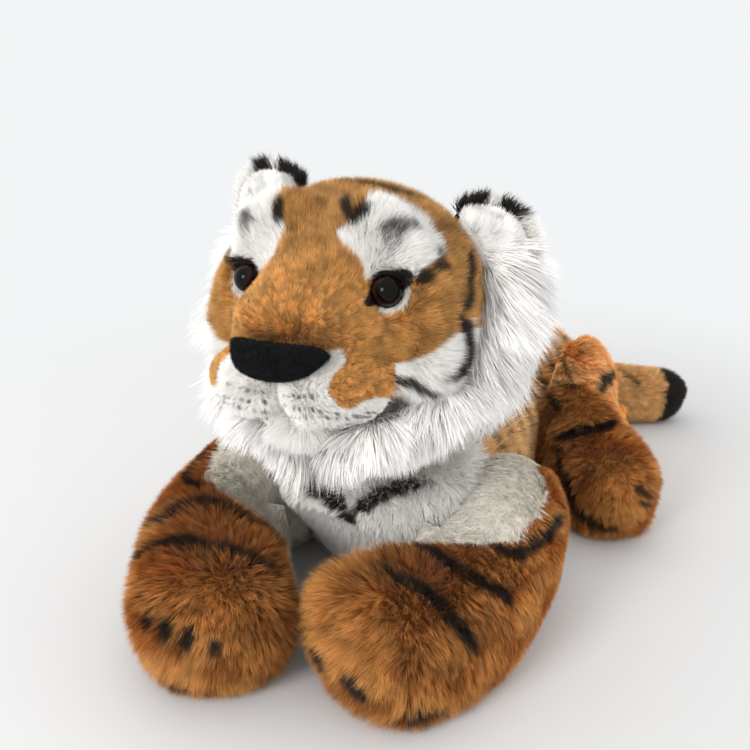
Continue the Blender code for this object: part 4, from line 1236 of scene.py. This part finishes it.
def ruff_grid(side):
    """The ruff's backing: a flat tube about its centre line, drawn in to nothing at both ends."""
    centre, out, back, w, h = ruff_frame(60)
    taper = np.sqrt(np.clip(np.minimum(np.linspace(0, 12, 60), np.linspace(14, 0.0, 60)), 0, 1))
    return from_head(on_side(tube(centre, back, out, w * taper, h * taper, 36), side))


def dress_ruff(side):
    """Ruff: long pile on a tube behind the cheek and under the chin, swept outwards and down."""
    grid = ruff_grid(side)
    backing("ruff_backing_" + side, "head", grid, plain_white, ruff_fabric)
    roots, normals, _ = scatter(grid, "ruff", side_seed(81, side))
    q = to_head(roots)
    facing = normals @ HEAD_TURN
    out = unit(q * (1, 0.2, 1) + (0, 0, 6.0))
    low = smooth_step(0, 62, -q[:, 2])[:, None]
    comb = out * 0.9 + facing * 0.3 + ((1 - low) * (0.0, 0.35, -0.7) + low * (0.0, -0.1, -0.8))
    comb = comb @ HEAD_TURN.T + swirl(roots, 34, 83, 0.4)
    length = 34 + 6 * ripple(roots, 24, 86) - 12 * low[:, 0]
    length = length * (1 - 0.55 * smooth_step(14, 32, q[:, 2]))
    pile = strands("ruff_pile_" + side, "head", roots, normals, comb, length, plain_white,
                   ruff_fabric, side_seed(87, side), width=0.46, lean=0.95, rise=0.3,
                   joints=3, tuft=6.0, pull=0.4, droop=0.12, stray=0.22)
    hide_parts("ruff_" + side)


def dress_neck():
    """Neck: a short sleeve of pile between the trunk and the head, white in front. Its level
    rings have a half width of R sin(t)^0.55 and rise with 1 - cos t, with t from 0 to pi."""
    t = np.linspace(0, np.pi, 40)
    r = NECK_RADIUS * np.sin(t) ** 0.55
    middle = np.stack([-3 - 0 * t, -49 - 9 * (1 - np.cos(t)) / 2, 86 + 30 * (1 - np.cos(t))], 1)
    grid = tube(middle, (1, 0, 0), (0, 1, 0), r, 0.95 * r, 56)

    def coat(p):
        none = 0 * p[..., 0]
        return none, share(-40 - p[..., 1] + 2 * ripple(p, 20, 13)), none
    cover = backing("neck_backing", "neck", grid, coat, coat_fabric)
    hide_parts("neck_core")
    roots, normals, _ = scatter(grid, "neck", 111)
    comb = swirl(roots, 30, 112, 0.3) + (0, 0.2, -1.0)
    strands("neck_pile", "neck", roots, normals, comb, 14.0, coat, coat_fabric, 113, width=0.45,
            tuft=6.0)


def dress_soles():
    """Soles: four pads of black brushed fabric under the feet, turned from (r, h) rows that
    round the rim."""
    rows = [(0, 0.15), (0.8, 0.15), (0.93, 0.3), (1, 0.9), (0.97, 1.7), (0.85, 2.1), (0, 2.2)]
    r, h = np.array(rows).T
    flat = tube(h[:, None] * (0, 0, 1), (1, 0, 0), (0, 1, 0), r, r, 48)
    places = {"front_leg_left": (48.0, -155.0, 0.0), "front_leg_right": (-38.0, -174.0, 0.0),
              "hind_leg_left": from_hind(np.array((97.0, -58.0, 0.0))),
              "hind_leg_right": from_hind(np.array((-97.0, -58.0, 0.0)))}
    for body, place in places.items():
        radius = FRONT_SOLE_RADIUS if body.startswith("front") else HIND_SOLE_RADIUS
        grid = flat * (radius, radius, 1) + place
        pad = write_mesh(body + "_sole_pad", closed_grid(grid), body, sole_cloth)
        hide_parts(body + "_sole")


def dress_washers():
    """Lock washers behind the eyes: they keep their own mesh and are moulded nylon."""
    for side in ("left", "right"):
        for place in bpy.data.objects["eye_washer_" + side].material_slots:
            place.material = nylon


dress_torso()
for side in ("left", "right"):
    dress_leg(side)
    dress_hind(side)
    dress_eye(side)
    dress_ear(side)
    dress_ruff(side)
dress_tail()
dress_neck()
dress_head()
dress_nose()
dress_soles()
dress_washers()


# Studio, in metres, watts, degrees and mm of lens
FLOOR_COLOUR = "#e3e3e3"
BACK_COLOUR = "#f2f4f5"
FLOOR_FADE = {"From Min": 0.28, "From Max": 0.56}
FLOOR_CORNERS = [(-1.4, -1.1, 0), (1.4, -1.1, 0), (1.4, 1.7, 0), (-1.4, 1.7, 0)]
KEY_PLACE = (-0.35, -1.55, 0.85)
KEY_AIM = (0.0, -0.05, 0.08)
KEY_POWER = 12.0
KEY_SIZE = 0.55
CAMERA_PLACE = (0.1962, -0.4605, 0.300)
CAMERA_DOWN = 22
CAMERA_TURN = 27
CAMERA_LENS = 43.2


def add_floor():
    """Matt white paper, which keeps the toy's shadow and, away from it, fades for the camera
    into the pale background."""
    material, tree, shader = blank("matt_white_paper")
    put(shader, {"Base Color": linear(FLOOR_COLOUR), "Roughness": 0.9, "Specular IOR Level": 0.2})
    place = add_node(tree, "TexCoord").outputs["Object"]
    far = add_node(tree, "VectorMath", {0: place}, operation="LENGTH").outputs["Value"]
    fade = add_node(tree, "MapRange", {"Value": far}, FLOOR_FADE, interpolation_type="SMOOTHSTEP")
    camera_ray = add_node(tree, "LightPath").outputs["Is Camera Ray"]
    seen = add_node(tree, "Math", {0: fade.outputs["Result"], 1: camera_ray}, operation="MULTIPLY")
    glow = add_node(tree, "Emission", values={"Color": linear(BACK_COLOUR)})
    both = add_node(tree, "MixShader", {0: seen.outputs[0], 1: shader.outputs["BSDF"],
                                        2: glow.outputs["Emission"]})
    tree.links.new(both.outputs[0], tree.nodes["Material Output"].inputs["Surface"])
    corners = np.array(FLOOR_CORNERS) / MM
    floor = write_mesh("floor", (corners, range(4), [0]), None, material)


def add_light():
    """Even white light from all round, a soft key lamp in front, and the background's colour
    where the camera looks past the floor."""
    world = bpy.data.worlds.new("soft_box")
    bpy.context.scene.world = world
    world.use_nodes = True
    tree = world.node_tree
    camera_ray = add_node(tree, "LightPath").outputs["Is Camera Ray"]
    lit = add_node(tree, "Mix", {"Factor": camera_ray}, {6: linear("#ffffff"), 7: linear(BACK_COLOUR)},
                   data_type="RGBA")
    tree.links.new(lit.outputs[2], tree.nodes["Background"].inputs["Color"])
    lamp = bpy.data.lights.new("key", "AREA")
    lamp.energy = KEY_POWER
    lamp.size = KEY_SIZE
    key = bpy.data.objects.new("key", lamp)
    bpy.context.scene.collection.objects.link(key)
    key.location = KEY_PLACE
    aim = np.array(KEY_AIM) - np.array(key.location)
    pitch = math.atan2(math.hypot(aim[0], aim[1]), -aim[2])
    key.rotation_euler = (pitch, 0, math.atan2(aim[1], aim[0]) - math.pi / 2)


def add_camera():
    """The camera at the photograph's angle."""
    camera = bpy.data.cameras.new("camera")
    camera.sensor_width = 36.0
    camera.lens = CAMERA_LENS
    view = bpy.data.objects.new("camera", camera)
    bpy.context.scene.collection.objects.link(view)
    view.location = CAMERA_PLACE
    view.rotation_euler = (math.radians(90 - CAMERA_DOWN), 0, math.radians(CAMERA_TURN))
    bpy.context.scene.camera = view
    bpy.context.scene.view_settings.view_transform = "Standard"


add_floor()
add_light()
add_camera()
